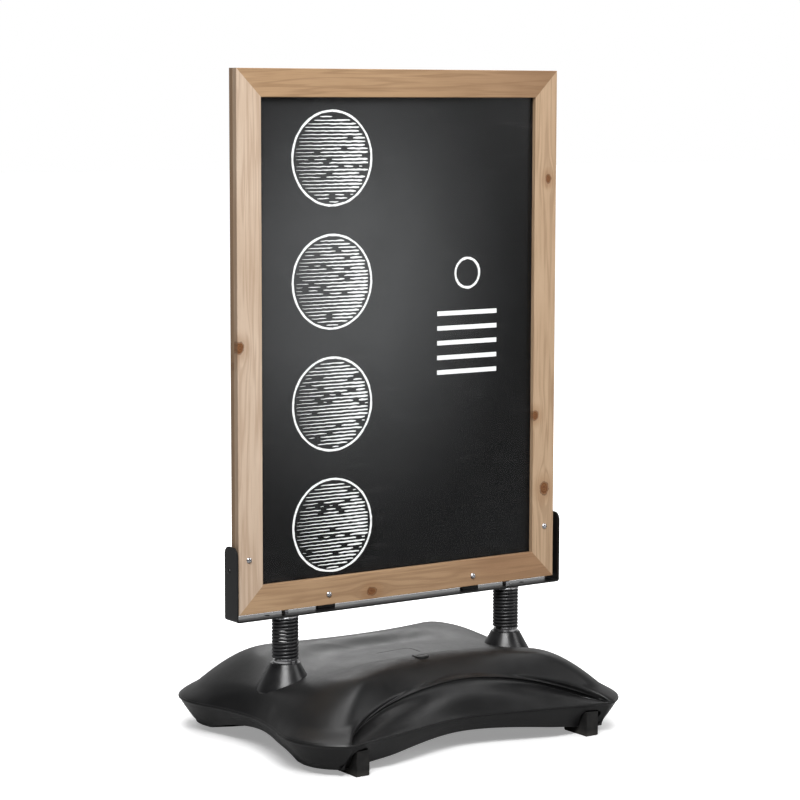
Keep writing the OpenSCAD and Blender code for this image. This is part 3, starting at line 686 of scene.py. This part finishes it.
def lathe(name, profile_rz, centre, n=96):
    """Closed solid turned about +Z from (radius, height) points in mm, from the axis and back to it."""
    verts, faces, rings = [], [], []
    for rr, zv in profile_rz:
        if rr < 1e-6:
            rings.append([len(verts)])
            verts.append((centre[0], centre[1], zv))
        else:
            rings.append(list(range(len(verts), len(verts) + n)))
            verts += [(centre[0] + rr * math.cos(2 * math.pi * j / n), centre[1] + rr * math.sin(2 * math.pi * j / n), zv) for j in range(n)]
    for r0, r1 in zip(rings, rings[1:]):
        for j in range(n):
            j2 = (j + 1) % n
            if len(r0) == 1:
                faces.append((r0[0], r1[j], r1[j2]))
            elif len(r1) == 1:
                faces.append((r0[j], r1[0], r0[j2]))
            else:
                faces.append((r0[j], r1[j], r1[j2], r0[j2]))
    o = make_mesh(name, [(x * MM, y * MM, z * MM) for x, y, z in verts], faces)
    fix_normals(o)
    return o


def hull_of(name, pts):
    bm = bmesh.new()
    for p in pts:
        bm.verts.new((p[0] * MM, p[1] * MM, p[2] * MM))
    res = bmesh.ops.convex_hull(bm, input=bm.verts)
    drop = [g for g in res["geom_interior"] if isinstance(g, bmesh.types.BMVert)]
    bmesh.ops.delete(bm, geom=drop, context="VERTS")
    me = bpy.data.meshes.new(name)
    bm.to_mesh(me)
    bm.free()
    o = link(bpy.data.objects.new(name, me))
    fix_normals(o)
    return o


def sweep_square(name, path, w, h):
    """A square bar swept along a path in mm, used to cut an engraved line."""
    verts, faces = [], []
    for i, p in enumerate(path):
        p = Vector(p)
        d = (Vector(path[min(i + 1, len(path) - 1)]) - Vector(path[max(i - 1, 0)])).normalized()
        sd = Vector((-d.y, d.x, 0)).normalized()
        for u, v in ((-w / 2, -h / 2), (w / 2, -h / 2), (w / 2, h / 2), (-w / 2, h / 2)):
            q = p + sd * u + Vector((0, 0, v))
            verts.append(q * MM)
    for i in range(len(path) - 1):
        for j in range(4):
            faces.append((i * 4 + j, i * 4 + (j + 1) % 4, i * 4 + 4 + (j + 1) % 4, i * 4 + 4 + j))
    faces.append((3, 2, 1, 0))
    k = (len(path) - 1) * 4
    faces.append((k, k + 1, k + 2, k + 3))
    o = make_mesh(name, verts, faces)
    fix_normals(o)
    return o


def cut(target, cutters, solver="EXACT"):
    for c in cutters:
        mod = target.modifiers.new("cut", "BOOLEAN")
        mod.operation = "DIFFERENCE"
        mod.object = c
        mod.solver = solver
    dg = bpy.context.evaluated_depsgraph_get()
    dg.update()
    me = bpy.data.meshes.new_from_object(target.evaluated_get(dg))
    target.modifiers.clear()
    old = target.data
    target.data = me
    me.name = target.name
    bpy.data.meshes.remove(old)
    for c in cutters:
        bpy.data.objects.remove(c)


tv, tf = tank_mesh(110)
tank = make_mesh("tank_shell", tv, tf)
cap_lo, cap_hi = box_mm("filler_cap")
CAP = ((cap_lo[0] + cap_hi[0]) / 2, (cap_lo[1] + cap_hi[1]) / 2)
CAP_Z = cap_hi[2] - 2.0
cone_lo, cone_hi = box_mm("spring_cone_right")
SX = (cone_lo[0] + cone_hi[0]) / 2
cutters = [lathe("c_fill", [(0, CAP_Z - 30), (10.5, CAP_Z - 30), (10.5, CAP_Z - 3.2), (13.6, CAP_Z - 3.2), (13.9, CAP_Z - 2.9),
                            (14.2, CAP_Z - 1.2), (15.2, CAP_Z + 0.3), (17.0, CAP_Z + 6), (0, CAP_Z + 6)], CAP, 72)]
for mx in (-1, 1):
    cutters.append(lathe("c_seat", [(0, 88), (50.8, 88), (50.8, 100.2), (25.3, 146), (25.3, 170), (0, 170)], (mx * SX, 0), 96))
    cutters.append(lathe("c_pocket", [(0, -5), (30, -5), (30, 67), (29, 68), (0, 68)], (mx * SX, 0), 64))
foot_lo, foot_hi = box_mm("foot_front_right")
FX = (foot_lo[0] + foot_hi[0]) / 2
for mx in (-1, 1):
    for my in (-1, 1):
        arc = [(math.cos(math.radians(t)), math.sin(math.radians(t))) for t in range(0, 181, 15)]
        y0, y1 = (182, 278) if my > 0 else (-278, -182)
        pts = []
        for yv in (y0, y1):
            pts += [(mx * FX - 14, yv, -5), (mx * FX + 14, yv, -5)]
            pts += [(mx * FX + 8 * (1 if c > 0 else -1) + 6 * c, yv, 40 + 6 * sn) for c, sn in arc]
        cutters.append(hull_of("c_foot", pts))
        pts = []
        for yv, hw, top, rr in ((my * 223, 14, 35, 3), (my * 264, 26, 34, 12)):
            pts += [(mx * FX - hw, yv, -5), (mx * FX + hw, yv, -5)]
            pts += [(mx * FX + (hw - rr) * (1 if c > 0 else -1) + rr * c, yv, top + rr * sn) for c, sn in arc]
        cutters.append(hull_of("c_mouth", pts))
# the engraved line round the corner of the label field
path = []
for k in range(25):
    t = k / 24
    path.append((-44 + 62 * t, 3.2 + 5.6 * t - 1.2 * t * t, 0))
cx, cy, cr_ = 17.5, -2.6, 10.5
for k in range(1, 15):
    t = math.radians(88 - k * 6.3)
    path.append((cx + cr_ * math.cos(t), cy + cr_ * math.sin(t), 0))
x0, y0 = path[-1][0], path[-1][1]
for k in range(1, 13):
    t = k / 12
    path.append((x0 - 1.4 * t, y0 - 26 * t, 0))
path = [(x, y, zin(x, y) + 0.35) for x, y, _ in path]
cutters.append(sweep_square("c_label", path, 1.8, 3.2))
cut(tank, cutters, "MANIFOLD")
tank.data.polygons.foreach_set("use_smooth", [True] * len(tank.data.polygons))
tank.data.set_sharp_from_angle(angle=math.radians(38))
dress(tank, MAT_TANK)
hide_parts("base_tank")
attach(tank, "base")


# ------------------------------------------------------------------ the springs
MAT_SPRING = {}


def coil(name, cx, z0, z1, rm, wr, turns, per=56, around=16, phase=0.0):
    """Round wire wound to closed ends that are ground flat."""
    total = int(per * turns)
    verts, faces = [], []
    closed = 0.85                                   # turns at each end that lie flat
    open_turns = turns - 2 * closed
    zlo, zhi = z0 + wr * 0.62, z1 - wr * 0.62
    rise_closed = wr * 2 * 0.93 * closed
    for i in range(total + 1):
        t = i / per
        if t < closed:
            k = t / closed
            zc = zlo + rise_closed * (0.35 * k + 0.65 * k * k)
        elif t > turns - closed:
            k = (turns - t) / closed
            zc = zhi - rise_closed * (0.35 * k + 0.65 * k * k)
        else:
            k = (t - closed) / open_turns
            zc = (zlo + rise_closed) * (1 - k) + (zhi - rise_closed) * k
        ang = 2 * math.pi * t + phase
        for j in range(around):
            b = 2 * math.pi * j / around
            rr = rm + wr * math.cos(b)
            zv = min(max(zc + wr * math.sin(b), z0), z1)
            verts.append(((cx + rr * math.cos(ang)) * MM, rr * math.sin(ang) * MM, zv * MM))
    for i in range(total):
        for j in range(around):
            j2 = (j + 1) % around
            faces.append((i * around + j, (i + 1) * around + j, (i + 1) * around + j2, i * around + j2))
    faces.append(tuple(range(around)))
    faces.append(tuple(total * around + j for j in reversed(range(around))))
    o = make_mesh(name, verts, faces, True, 40)
    fix_normals(o)
    return o


for side, sgn in (("left", -1), ("right", 1)):
    lo, hi = box_mm(f"spring_{side}")
    ring_hi = box_mm(f"seat_ring_{side}")[1][2]
    plate_lo = box_mm("cradle")[0][2]
    z0, z1 = ring_hi + 0.1, plate_lo - 0.1
    rad = (hi[0] - lo[0]) / 2
    wr = 2.7
    o = coil(f"coil_{side}", sgn * SX, z0, z1, rad - wr, wr, 12.4, phase=math.radians(200 if sgn < 0 else 215))
    mat = spring_steel(f"spring_steel_{side}", z0 * MM, z1 * MM)
    dress(o, mat)
    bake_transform(o)
    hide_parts(f"spring_{side}")


# ------------------------------------------------------------------ the poster's chalk drawing: plain discs, a ring and bars
RND = random.Random(71)


class Ink:
    """Collects strokes as thin closed ribbons in the plane of the poster, in mm."""

    def __init__(self):
        self.v, self.f = [], []

    def ribbon(self, pts, widths):
        if len(pts) < 2:
            return
        base = len(self.v)
        n = len(pts)
        for i in range(n):
            ax, az = pts[max(0, i - 1)]
            bx, bz = pts[min(n - 1, i + 1)]
            dx, dz = bx - ax, bz - az
            ln = math.hypot(dx, dz) or 1.0
            nx, nz = -dz / ln, dx / ln
            w = (widths[i] if isinstance(widths, (list, tuple)) else widths) * 0.575
            px, pz = pts[i]
            for depth in (0.10, -0.02):
                self.v.append((px + nx * w, depth, pz + nz * w))
                self.v.append((px - nx * w, depth, pz - nz * w))
        for i in range(n - 1):
            a0, b0 = base + i * 4, base + i * 4 + 4
            self.f += [(a0, a0 + 1, b0 + 1, b0), (a0 + 2, b0 + 2, b0 + 3, a0 + 3), (a0, b0, b0 + 2, a0 + 2), (a0 + 1, a0 + 3, b0 + 3, b0 + 1)]
        self.f.append((base, base + 2, base + 3, base + 1))
        k = base + (n - 1) * 4
        self.f.append((k, k + 1, k + 3, k + 2))

    def stroke(self, pts, w, taper=True, wob=0.25, closed=False):
        """A drawn line: slightly uneven, thinner towards its ends."""
        if closed:
            pts = list(pts) + [pts[0], pts[1]]
        n = len(pts)
        out, ws = [], []
        for i, (x, z) in enumerate(pts):
            k = i / max(1, n - 1)
            f = min(1.0, 0.35 + 4 * min(k, 1 - k)) if taper and not closed else 1.0
            out.append((x + RND.uniform(-wob, wob), z + RND.uniform(-wob, wob)))
            ws.append(max(0.3, w * f * RND.uniform(0.8, 1.15)))
        self.ribbon(out, ws)


def bez(p, n=24):
    """Smooth open curve through points."""
    pts = [np.array(q, float) for q in p]
    out = []
    for i in range(len(pts) - 1):
        p0 = pts[i - 1] if i else 2 * pts[0] - pts[1]
        p3 = pts[i + 2] if i + 2 < len(pts) else 2 * pts[-1] - pts[-2]
        p1, p2 = pts[i], pts[i + 1]
        seg = max(2, n // (len(pts) - 1))
        for k in range(seg):
            t = k / seg
            out.append(tuple(0.5 * ((2 * p1) + (p2 - p0) * t + (2 * p0 - 5 * p1 + 4 * p2 - p3) * t * t + (3 * p1 - p0 - 3 * p2 + p3) * t ** 3)))
    out.append(tuple(pts[-1]))
    return out


def ellipse(cx, cz, rx, rz, a0=0, a1=360, n=48, rot=0.0):
    c, s = math.cos(math.radians(rot)), math.sin(math.radians(rot))
    out = []
    for k in range(n + 1):
        t = math.radians(a0 + (a1 - a0) * k / n)
        x, z = rx * math.cos(t), rz * math.sin(t)
        out.append((cx + x * c - z * s, cz + x * s + z * c))
    return out


def inside(poly, x, z):
    hit, j = False, len(poly) - 1
    for i in range(len(poly)):
        xi, zi = poly[i]
        xj, zj = poly[j]
        if (zi > z) != (zj > z) and x < (xj - xi) * (z - zi) / (zj - zi) + xi:
            hit = not hit
        j = i
    return hit


OPEN_X, OPEN_LO, OPEN_HI = 286.5, z_bot / MM + 48.5, z_top / MM - 48.5


def on_sheet(x, z):
    return -OPEN_X < x < OPEN_X and OPEN_LO < z < OPEN_HI


def hatch(ink, line, count, region, tone, width, step=5.0, gap=0.04, wob=0.35):
    """Engraver's shading. line(k) gives the k-th line's points, region(x, z) where it may draw, and tone(x, z) from 0 to 1
    how heavy it is there."""
    for k in range(count):
        pts = line(k)
        run, ws = [], []
        for (x0, z0), (x1, z1) in zip(pts, pts[1:]):
            d = math.hypot(x1 - x0, z1 - z0)
            m0 = max(1, int(d / step))
            for i in range(m0):
                t = i / m0
                x, z = x0 + (x1 - x0) * t, z0 + (z1 - z0) * t
                v = tone(x, z) if on_sheet(x, z) and region(x, z) else 0.0
                if v > 0.06 and RND.random() > gap:
                    run.append((x + RND.uniform(-wob, wob), z + RND.uniform(-wob, wob)))
                    ws.append(max(0.25, width * v * RND.uniform(0.75, 1.2)))
                else:
                    if len(run) > 1:
                        ws[0] *= 0.5
                        ws[-1] *= 0.5
                        ink.ribbon(run, ws)
                    run, ws = [], []
        if len(run) > 1:
            ws[0] *= 0.5
            ws[-1] *= 0.5
            ink.ribbon(run, ws)


def draw_art():
    ink = Ink()

    # a plain column of equal shaded discs
    for n in range(4):
        dz = 375 + 210 * n
        ink.stroke(ellipse(-140, dz, 80, 80, 0, 360, 72), 3.4, False)
        hatch(ink, lambda k: [(-225, dz - 80 + 6 * k), (-55, dz - 80 + 6 * k)], 27,
              lambda x, z: math.hypot(x + 140, z - dz) < 76, lambda x, z: 0.5 + 0.4 * (x + 140) / 80, 3.6, 6.0, 0.06, 0.4)

    # right: a plain ring over five equal bars, where a notice would stand
    ink.stroke(ellipse(145, 800, 26, 26, 0, 360, 48), 4.0, False)
    for k in range(5):
        z = 730 - 26 * k
        ink.ribbon([(80, z), (145, z), (210, z)], 7.0)
    return ink


ART = draw_art()


def place_art(name, face_y, sgn):
    """The strokes lie on the poster's face. sgn -1 is the front sheet, 1 the rear one, turned about so that it reads the same."""
    verts = [(x * MM * (-sgn), face_y + sgn * d * MM, z * MM) for x, d, z in ART.v]
    faces = ART.f if sgn < 0 else ART.f
    o = make_mesh(name, verts, faces, smooth=False)
    fix_normals(o)
    dress(o, MAT_CHALK)
    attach(o, "sign")
    return o


place_art("front_print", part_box("front_poster")[0][1], -1)
place_art("rear_print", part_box("rear_poster")[1][1], 1)
dress(nodes["front_poster"], poster_print("poster_front", 1))
dress(nodes["rear_poster"], poster_print("poster_rear", -1))


# ------------------------------------------------------------------ the clear sheets, a hair thinner than in CAD so the print stands free
def sheet_mesh(name, x0, x1, y0, y1, z0, z1, nx=14, nz=20, bow=0.0):
    """A thin pane with square corners; bow, if given, bows it out between its held edges."""
    verts, faces = [], []
    for side in (0, 1):
        for j in range(nz + 1):
            for i in range(nx + 1):
                u, v = i / nx, j / nz
                b = bow * math.sin(math.pi * u) * math.sin(math.pi * v)
                verts.append((x0 + (x1 - x0) * u, (y0 if side == 0 else y1) + b, z0 + (z1 - z0) * v))
    w = nx + 1
    off = w * (nz + 1)
    for j in range(nz):
        for i in range(nx):
            a0 = j * w + i
            faces.append((a0, a0 + 1, a0 + w + 1, a0 + w))
            faces.append((off + a0, off + a0 + w, off + a0 + w + 1, off + a0 + 1))
    for i in range(nx):
        faces.append((i, off + i, off + i + 1, i + 1))
        k = nz * w + i
        faces.append((k, k + 1, off + k + 1, off + k))
    for j in range(nz):
        a0 = j * w
        faces.append((a0, a0 + w, off + a0 + w, off + a0))
        k = j * w + nx
        faces.append((k, off + k, off + k + w, k + w))
    o = make_mesh(name, verts, faces, smooth=False)
    fix_normals(o)
    return o


for nm, node, body, s in (("front_pane", "front_cover", "front_frame", -1), ("rear_pane", "rear_cover", "sign", 1)):
    lo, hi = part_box(node)
    y_out, y_in = (lo[1], hi[1] - 0.0003) if s < 0 else (hi[1], lo[1] + 0.0003)
    o = sheet_mesh(nm, lo[0], hi[0], min(y_in, y_out), max(y_in, y_out), lo[2], hi[2])
    dress(o, MAT_CLEAR)
    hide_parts(node)
    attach(o, body)


# ------------------------------------------------------------------ the wooden bars, with rounded long edges
def box_mesh(name, lo, hi):
    v = [(x, y, z) for x in (lo[0], hi[0]) for y in (lo[1], hi[1]) for z in (lo[2], hi[2])]
    f = [(0, 1, 3, 2), (4, 6, 7, 5), (0, 4, 5, 1), (2, 3, 7, 6), (0, 2, 6, 4), (1, 5, 7, 3)]
    o = make_mesh(name, [(a0 * MM, b0 * MM, c0 * MM) for a0, b0, c0 in v], f, False)
    fix_normals(o)
    return o


def rod_y(name, x, z, y0, y1, rad, n=32):
    verts, faces = [], []
    for yv in (y0, y1):
        verts += [(x + rad * math.cos(2 * math.pi * k / n), yv, z + rad * math.sin(2 * math.pi * k / n)) for k in range(n)]
    faces = [(k, (k + 1) % n, n + (k + 1) % n, n + k) for k in range(n)] + [tuple(range(n)), tuple(range(2 * n - 1, n - 1, -1))]
    o = make_mesh(name, [(a0 * MM, b0 * MM, c0 * MM) for a0, b0, c0 in verts], faces, False)
    fix_normals(o)
    return o


def rod_x(name, y, z, x0, x1, rad, n=24):
    verts = []
    for xv in (x0, x1):
        verts += [(xv, y + rad * math.cos(2 * math.pi * k / n), z + rad * math.sin(2 * math.pi * k / n)) for k in range(n)]
    faces = [(k, (k + 1) % n, n + (k + 1) % n, n + k) for k in range(n)] + [tuple(range(n)), tuple(range(2 * n - 1, n - 1, -1))]
    o = make_mesh(name, [(a0 * MM, b0 * MM, c0 * MM) for a0, b0, c0 in verts], faces, False)
    fix_normals(o)
    return o


def rounded(points, radii, seg=5):
    """Closed outline with each corner of nonzero radius rounded."""
    out, n = [], len(points)
    for i, (p, rad) in enumerate(zip(points, radii)):
        a0, b0 = Vector(points[i - 1]), Vector(points[(i + 1) % n])
        p = Vector(p)
        da, db = (a0 - p).normalized(), (b0 - p).normalized()
        if rad <= 0:
            out.append(tuple(p))
            continue
        c = p + (da + db) * rad
        convex_pts = [p + da * rad, p + db * rad]
        t0 = math.atan2(convex_pts[0][1] - c[1], convex_pts[0][0] - c[0])
        t1 = math.atan2(convex_pts[1][1] - c[1], convex_pts[1][0] - c[0])
        dt = (t1 - t0 + math.pi) % (2 * math.pi) - math.pi
        for k in range(seg + 1):
            t = t0 + dt * k / seg
            out.append((c[0] + rad * math.cos(t), c[1] + rad * math.sin(t)))
    return out


FR_LO, FR_HI = box_mm("front_rail_bottom")
FW = FR_HI[0] - FR_LO[0]
FZ0 = FR_LO[2]
FZ1 = box_mm("front_rail_top")[1][2]
FH = FZ1 - FZ0
HALF_T = -FR_LO[1]
REB_W, REB_D = 13.0, 3.0
SCREWS = [(FW / 2 - 20.5, FZ0 + 93.5), (-(FW / 2 - 20.5), FZ0 + 93.5), (153.8, FZ0 + 18), (-153.8, FZ0 + 18)]


def wood_bar(node, side, s, body):
    """side 0 bottom, 1 right, 2 top, 3 left; s -1 front ring, 1 rear ring. The section is drawn as (w, y): w from the
    outer edge inwards, y outwards from the middle plane."""
    w1 = prof / MM
    pts = [(0, 0.05), (w1 - REB_W, 0.05), (w1 - REB_W, REB_D), (w1, REB_D), (w1, HALF_T), (0, HALF_T)]
    rad = [0.5, 0, 0, 0.5, 1.3, 1.3]
    sec = rounded(pts, rad)
    length = FW if side % 2 == 0 else FH
    nseg = 48
    verts, faces = [], []
    m0 = len(sec)
    for i in range(nseg + 1):
        u = i / nseg * 2 - 1
        for w, y in sec:
            along = u * (length / 2 - w)
            if side == 0:
                x, z = along, FZ0 + w
            elif side == 1:
                x, z = FW / 2 - w, FZ0 + FH / 2 + along
            elif side == 2:
                x, z = -along, FZ1 - w
            else:
                x, z = -FW / 2 + w, FZ0 + FH / 2 - along
            verts.append((x * MM, s * y * MM, z * MM))
    for i in range(nseg):
        for j in range(m0):
            j2 = (j + 1) % m0
            faces.append((i * m0 + j, i * m0 + j2, (i + 1) * m0 + j2, (i + 1) * m0 + j))
    faces.append(tuple(range(m0)))
    faces.append(tuple(nseg * m0 + j for j in reversed(range(m0))))
    o = make_mesh("bar_" + node, verts, faces)
    fix_normals(o)
    cutters = []
    for x, z in SCREWS:
        on = abs(x) > 300 if side % 2 else abs(x) < 300
        if on and (side == 0 or (side == 1 and x > 0) or (side == 3 and x < 0)):
            rr = 2.75 if s < 0 else 3.6
            cutters.append(rod_y("c_hole", x, z, -1 if s > 0 else -HALF_T - 2, HALF_T + 2 if s > 0 else 1, rr))
    if side == 0:
        for mx in (-1, 1):
            cutters.append(box_mesh("c_slot", (mx * 153.8 - 18.5, -2 if s < 0 else -3, FZ0 - 1), (mx * 153.8 + 18.5, 3 if s < 0 else 2, FZ0 + 31)))
    if s > 0 and side % 2 == 1:
        mx = 1 if side == 1 else -1
        x0, x1 = sorted((mx * (FW / 2 + 1), mx * (FW / 2 - 25)))
        cutters.append(rod_x("c_side", HALF_T / 2, box_mm("cradle")[0][2] + 86, x0, x1, 2.25))
    if cutters:
        cut(o, cutters, "EXACT")
    o.data.polygons.foreach_set("use_smooth", [True] * len(o.data.polygons))
    o.data.set_sharp_from_angle(angle=math.radians(40))
    wn = o.modifiers.new("shade", "WEIGHTED_NORMAL")
    wn.weight = 100
    wn.keep_sharp = True
    dress(o, WOODS[node])
    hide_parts(node)
    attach(o, body)
    return o


for nm, side in (("rail_bottom", 0), ("stile_right", 1), ("rail_top", 2), ("stile_left", 3)):
    wood_bar("front_" + nm, side, -1, "front_frame")
    wood_bar("rear_" + nm, side, 1, "sign")


# ------------------------------------------------------------------ finishes and softened edges on the CAD nodes
def soften(name, width, segments=2, angle=35):
    o = nodes[name]
    w = o.modifiers.new("weld", "WELD")
    w.merge_threshold = 0.00001
    b = o.modifiers.new("edge", "BEVEL")
    b.width = width
    b.segments = segments
    b.limit_method = "ANGLE"
    b.angle_limit = math.radians(angle)
    b.harden_normals = False
    n = o.modifiers.new("shade", "WEIGHTED_NORMAL")
    n.weight = 90
    n.keep_sharp = False


for n in ("foot_front_left", "foot_front_right", "foot_rear_left", "foot_rear_right"):
    dress(nodes[n], MAT_RUBBER)
    soften(n, 0.0008, 2)
dress(nodes["cap_seal"], MAT_RUBBER)
dress(nodes["filler_cap"], MAT_CAP)
for n in ("spring_cone_left", "spring_cone_right"):
    dress(nodes[n], MAT_CONE)
for n in ("seat_ring_left", "seat_ring_right"):
    dress(nodes[n], MAT_RING)
    soften(n, 0.0006, 2)
for n in ("lower_plug_left", "lower_plug_right", "upper_plug_left", "upper_plug_right"):
    dress(nodes[n], MAT_IRON)
for n in ("anchor_bolts", "anchor_washers", "plate_bolts", "sleeve_nuts", "frame_screws"):
    dress(nodes[n], MAT_ZINC)
soften("plate_bolts", 0.0004, 2)
for n in ("cradle", "frame_brackets", "side_spacers", "side_screws"):
    dress(nodes[n], MAT_CRADLE)
soften("cradle", 0.0005, 2)
soften("frame_brackets", 0.0004, 2)
dress(nodes["backing_board"], MAT_BOARD)
dress(nodes["ballast_fill"], MAT_BOARD)


# ------------------------------------------------------------------ studio
def floor_material():
    """Pale sweep: near the object it shows soft shadow, further out it runs up to white; it throws back less light than it shows."""
    t = Tree("studio_floor")
    n = t.noise(t.coord, 3.0, 5.0, 0.6)
    lp = t.node("ShaderNodeLightPath")
    seen = lp.outputs["Is Camera Ray"]
    bright = t.mix(t.range(n, 0.3, 0.7, 0, 1), lin(243, 243, 243), lin(248, 248, 248))
    c = t.mix(seen, lin(160, 160, 160), bright)
    x, y, z = t.separate(t.coord)
    rad = t.math("SQRT", t.math("ADD", t.math("MULTIPLY", x, x), t.math("MULTIPLY", y, y)))
    lift = t.math("MULTIPLY", t.range(rad, 0.25, 1.1, 0.30, 1.0, True), seen)
    p = t.principled(color=c, rough=t.range(n, 0.3, 0.7, 0.6, 0.7), specular=0.1)
    p.inputs["Emission Color"].default_value = (1, 1, 1, 1)
    t.put(p.inputs["Emission Strength"], lift)
    return t.finish(p)


fv, ff = [], []
for j in range(41):
    for i in range(41):
        fv.append((-30 + 60 * i / 40, -30 + 60 * j / 40, 0.0))
for j in range(40):
    for i in range(40):
        k = j * 41 + i
        ff.append((k, k + 1, k + 42, k + 41))
floor = make_mesh("studio_floor", fv, ff)
dress(floor, floor_material())

world = bpy.data.worlds.new("studio")
scene.world = world
world.use_nodes = True
wt = world.node_tree
wt.nodes.clear()
w_out = wt.nodes.new("ShaderNodeOutputWorld")
w_bg = wt.nodes.new("ShaderNodeBackground")
w_cam = wt.nodes.new("ShaderNodeBackground")
w_mix = wt.nodes.new("ShaderNodeMixShader")
w_lp = wt.nodes.new("ShaderNodeLightPath")
w_co = wt.nodes.new("ShaderNodeTexCoord")
w_dot = wt.nodes.new("ShaderNodeVectorMath")
w_dot.operation = "DOT_PRODUCT"
w_rng = wt.nodes.new("ShaderNodeMapRange")
w_rng.interpolation_type = "SMOOTHSTEP"
wt.links.new(w_co.outputs["Generated"], w_dot.inputs[0])
w_dot.inputs[1].default_value = (0.57, 0.82, 0.0)
wt.links.new(w_dot.outputs["Value"], w_rng.inputs["Value"])
w_rng.inputs["From Min"].default_value = 0.25
w_rng.inputs["From Max"].default_value = 0.95
w_rng.inputs["To Min"].default_value = 0.07
w_rng.inputs["To Max"].default_value = 0.50
w_bg.inputs["Color"].default_value = (1, 1, 1, 1)
wt.links.new(w_rng.outputs["Result"], w_bg.inputs["Strength"])
w_cam.inputs["Color"].default_value = (1, 1, 1, 1)
w_cam.inputs["Strength"].default_value = 1.0
wt.links.new(w_lp.outputs["Is Camera Ray"], w_mix.inputs[0])
wt.links.new(w_bg.outputs[0], w_mix.inputs[1])
wt.links.new(w_cam.outputs[0], w_mix.inputs[2])
wt.links.new(w_mix.outputs[0], w_out.inputs["Surface"])


def area(name, pos, target, size, power, color=(1, 1, 1)):
    d = bpy.data.lights.new(name, "AREA")
    d.shape = "RECTANGLE"
    d.size, d.size_y = size
    d.energy = power
    d.color = color
    o = link(bpy.data.objects.new(name, d))
    o.location = pos
    o.rotation_euler = (Vector(target) - Vector(pos)).to_track_quat("-Z", "Y").to_euler()
    return o


MIDP = (0.0, 0.0, 0.55)
# overhead front softbox, near the camera's azimuth
area("soft_front", (-2.0, -2.9, 4.2), MIDP, (2.8, 2.0), 260)
# overhead box for the tops
area("soft_top", (0.3, 0.6, 4.6), (0, 0, 0.2), (3.2, 2.6), 112)
# weak fill from the left and the right rear
area("soft_right", (2.9, -2.6, 1.9), MIDP, (1.4, 2.0), 30)
area("soft_rear", (2.6, 3.4, 2.8), MIDP, (2.4, 1.8), 40)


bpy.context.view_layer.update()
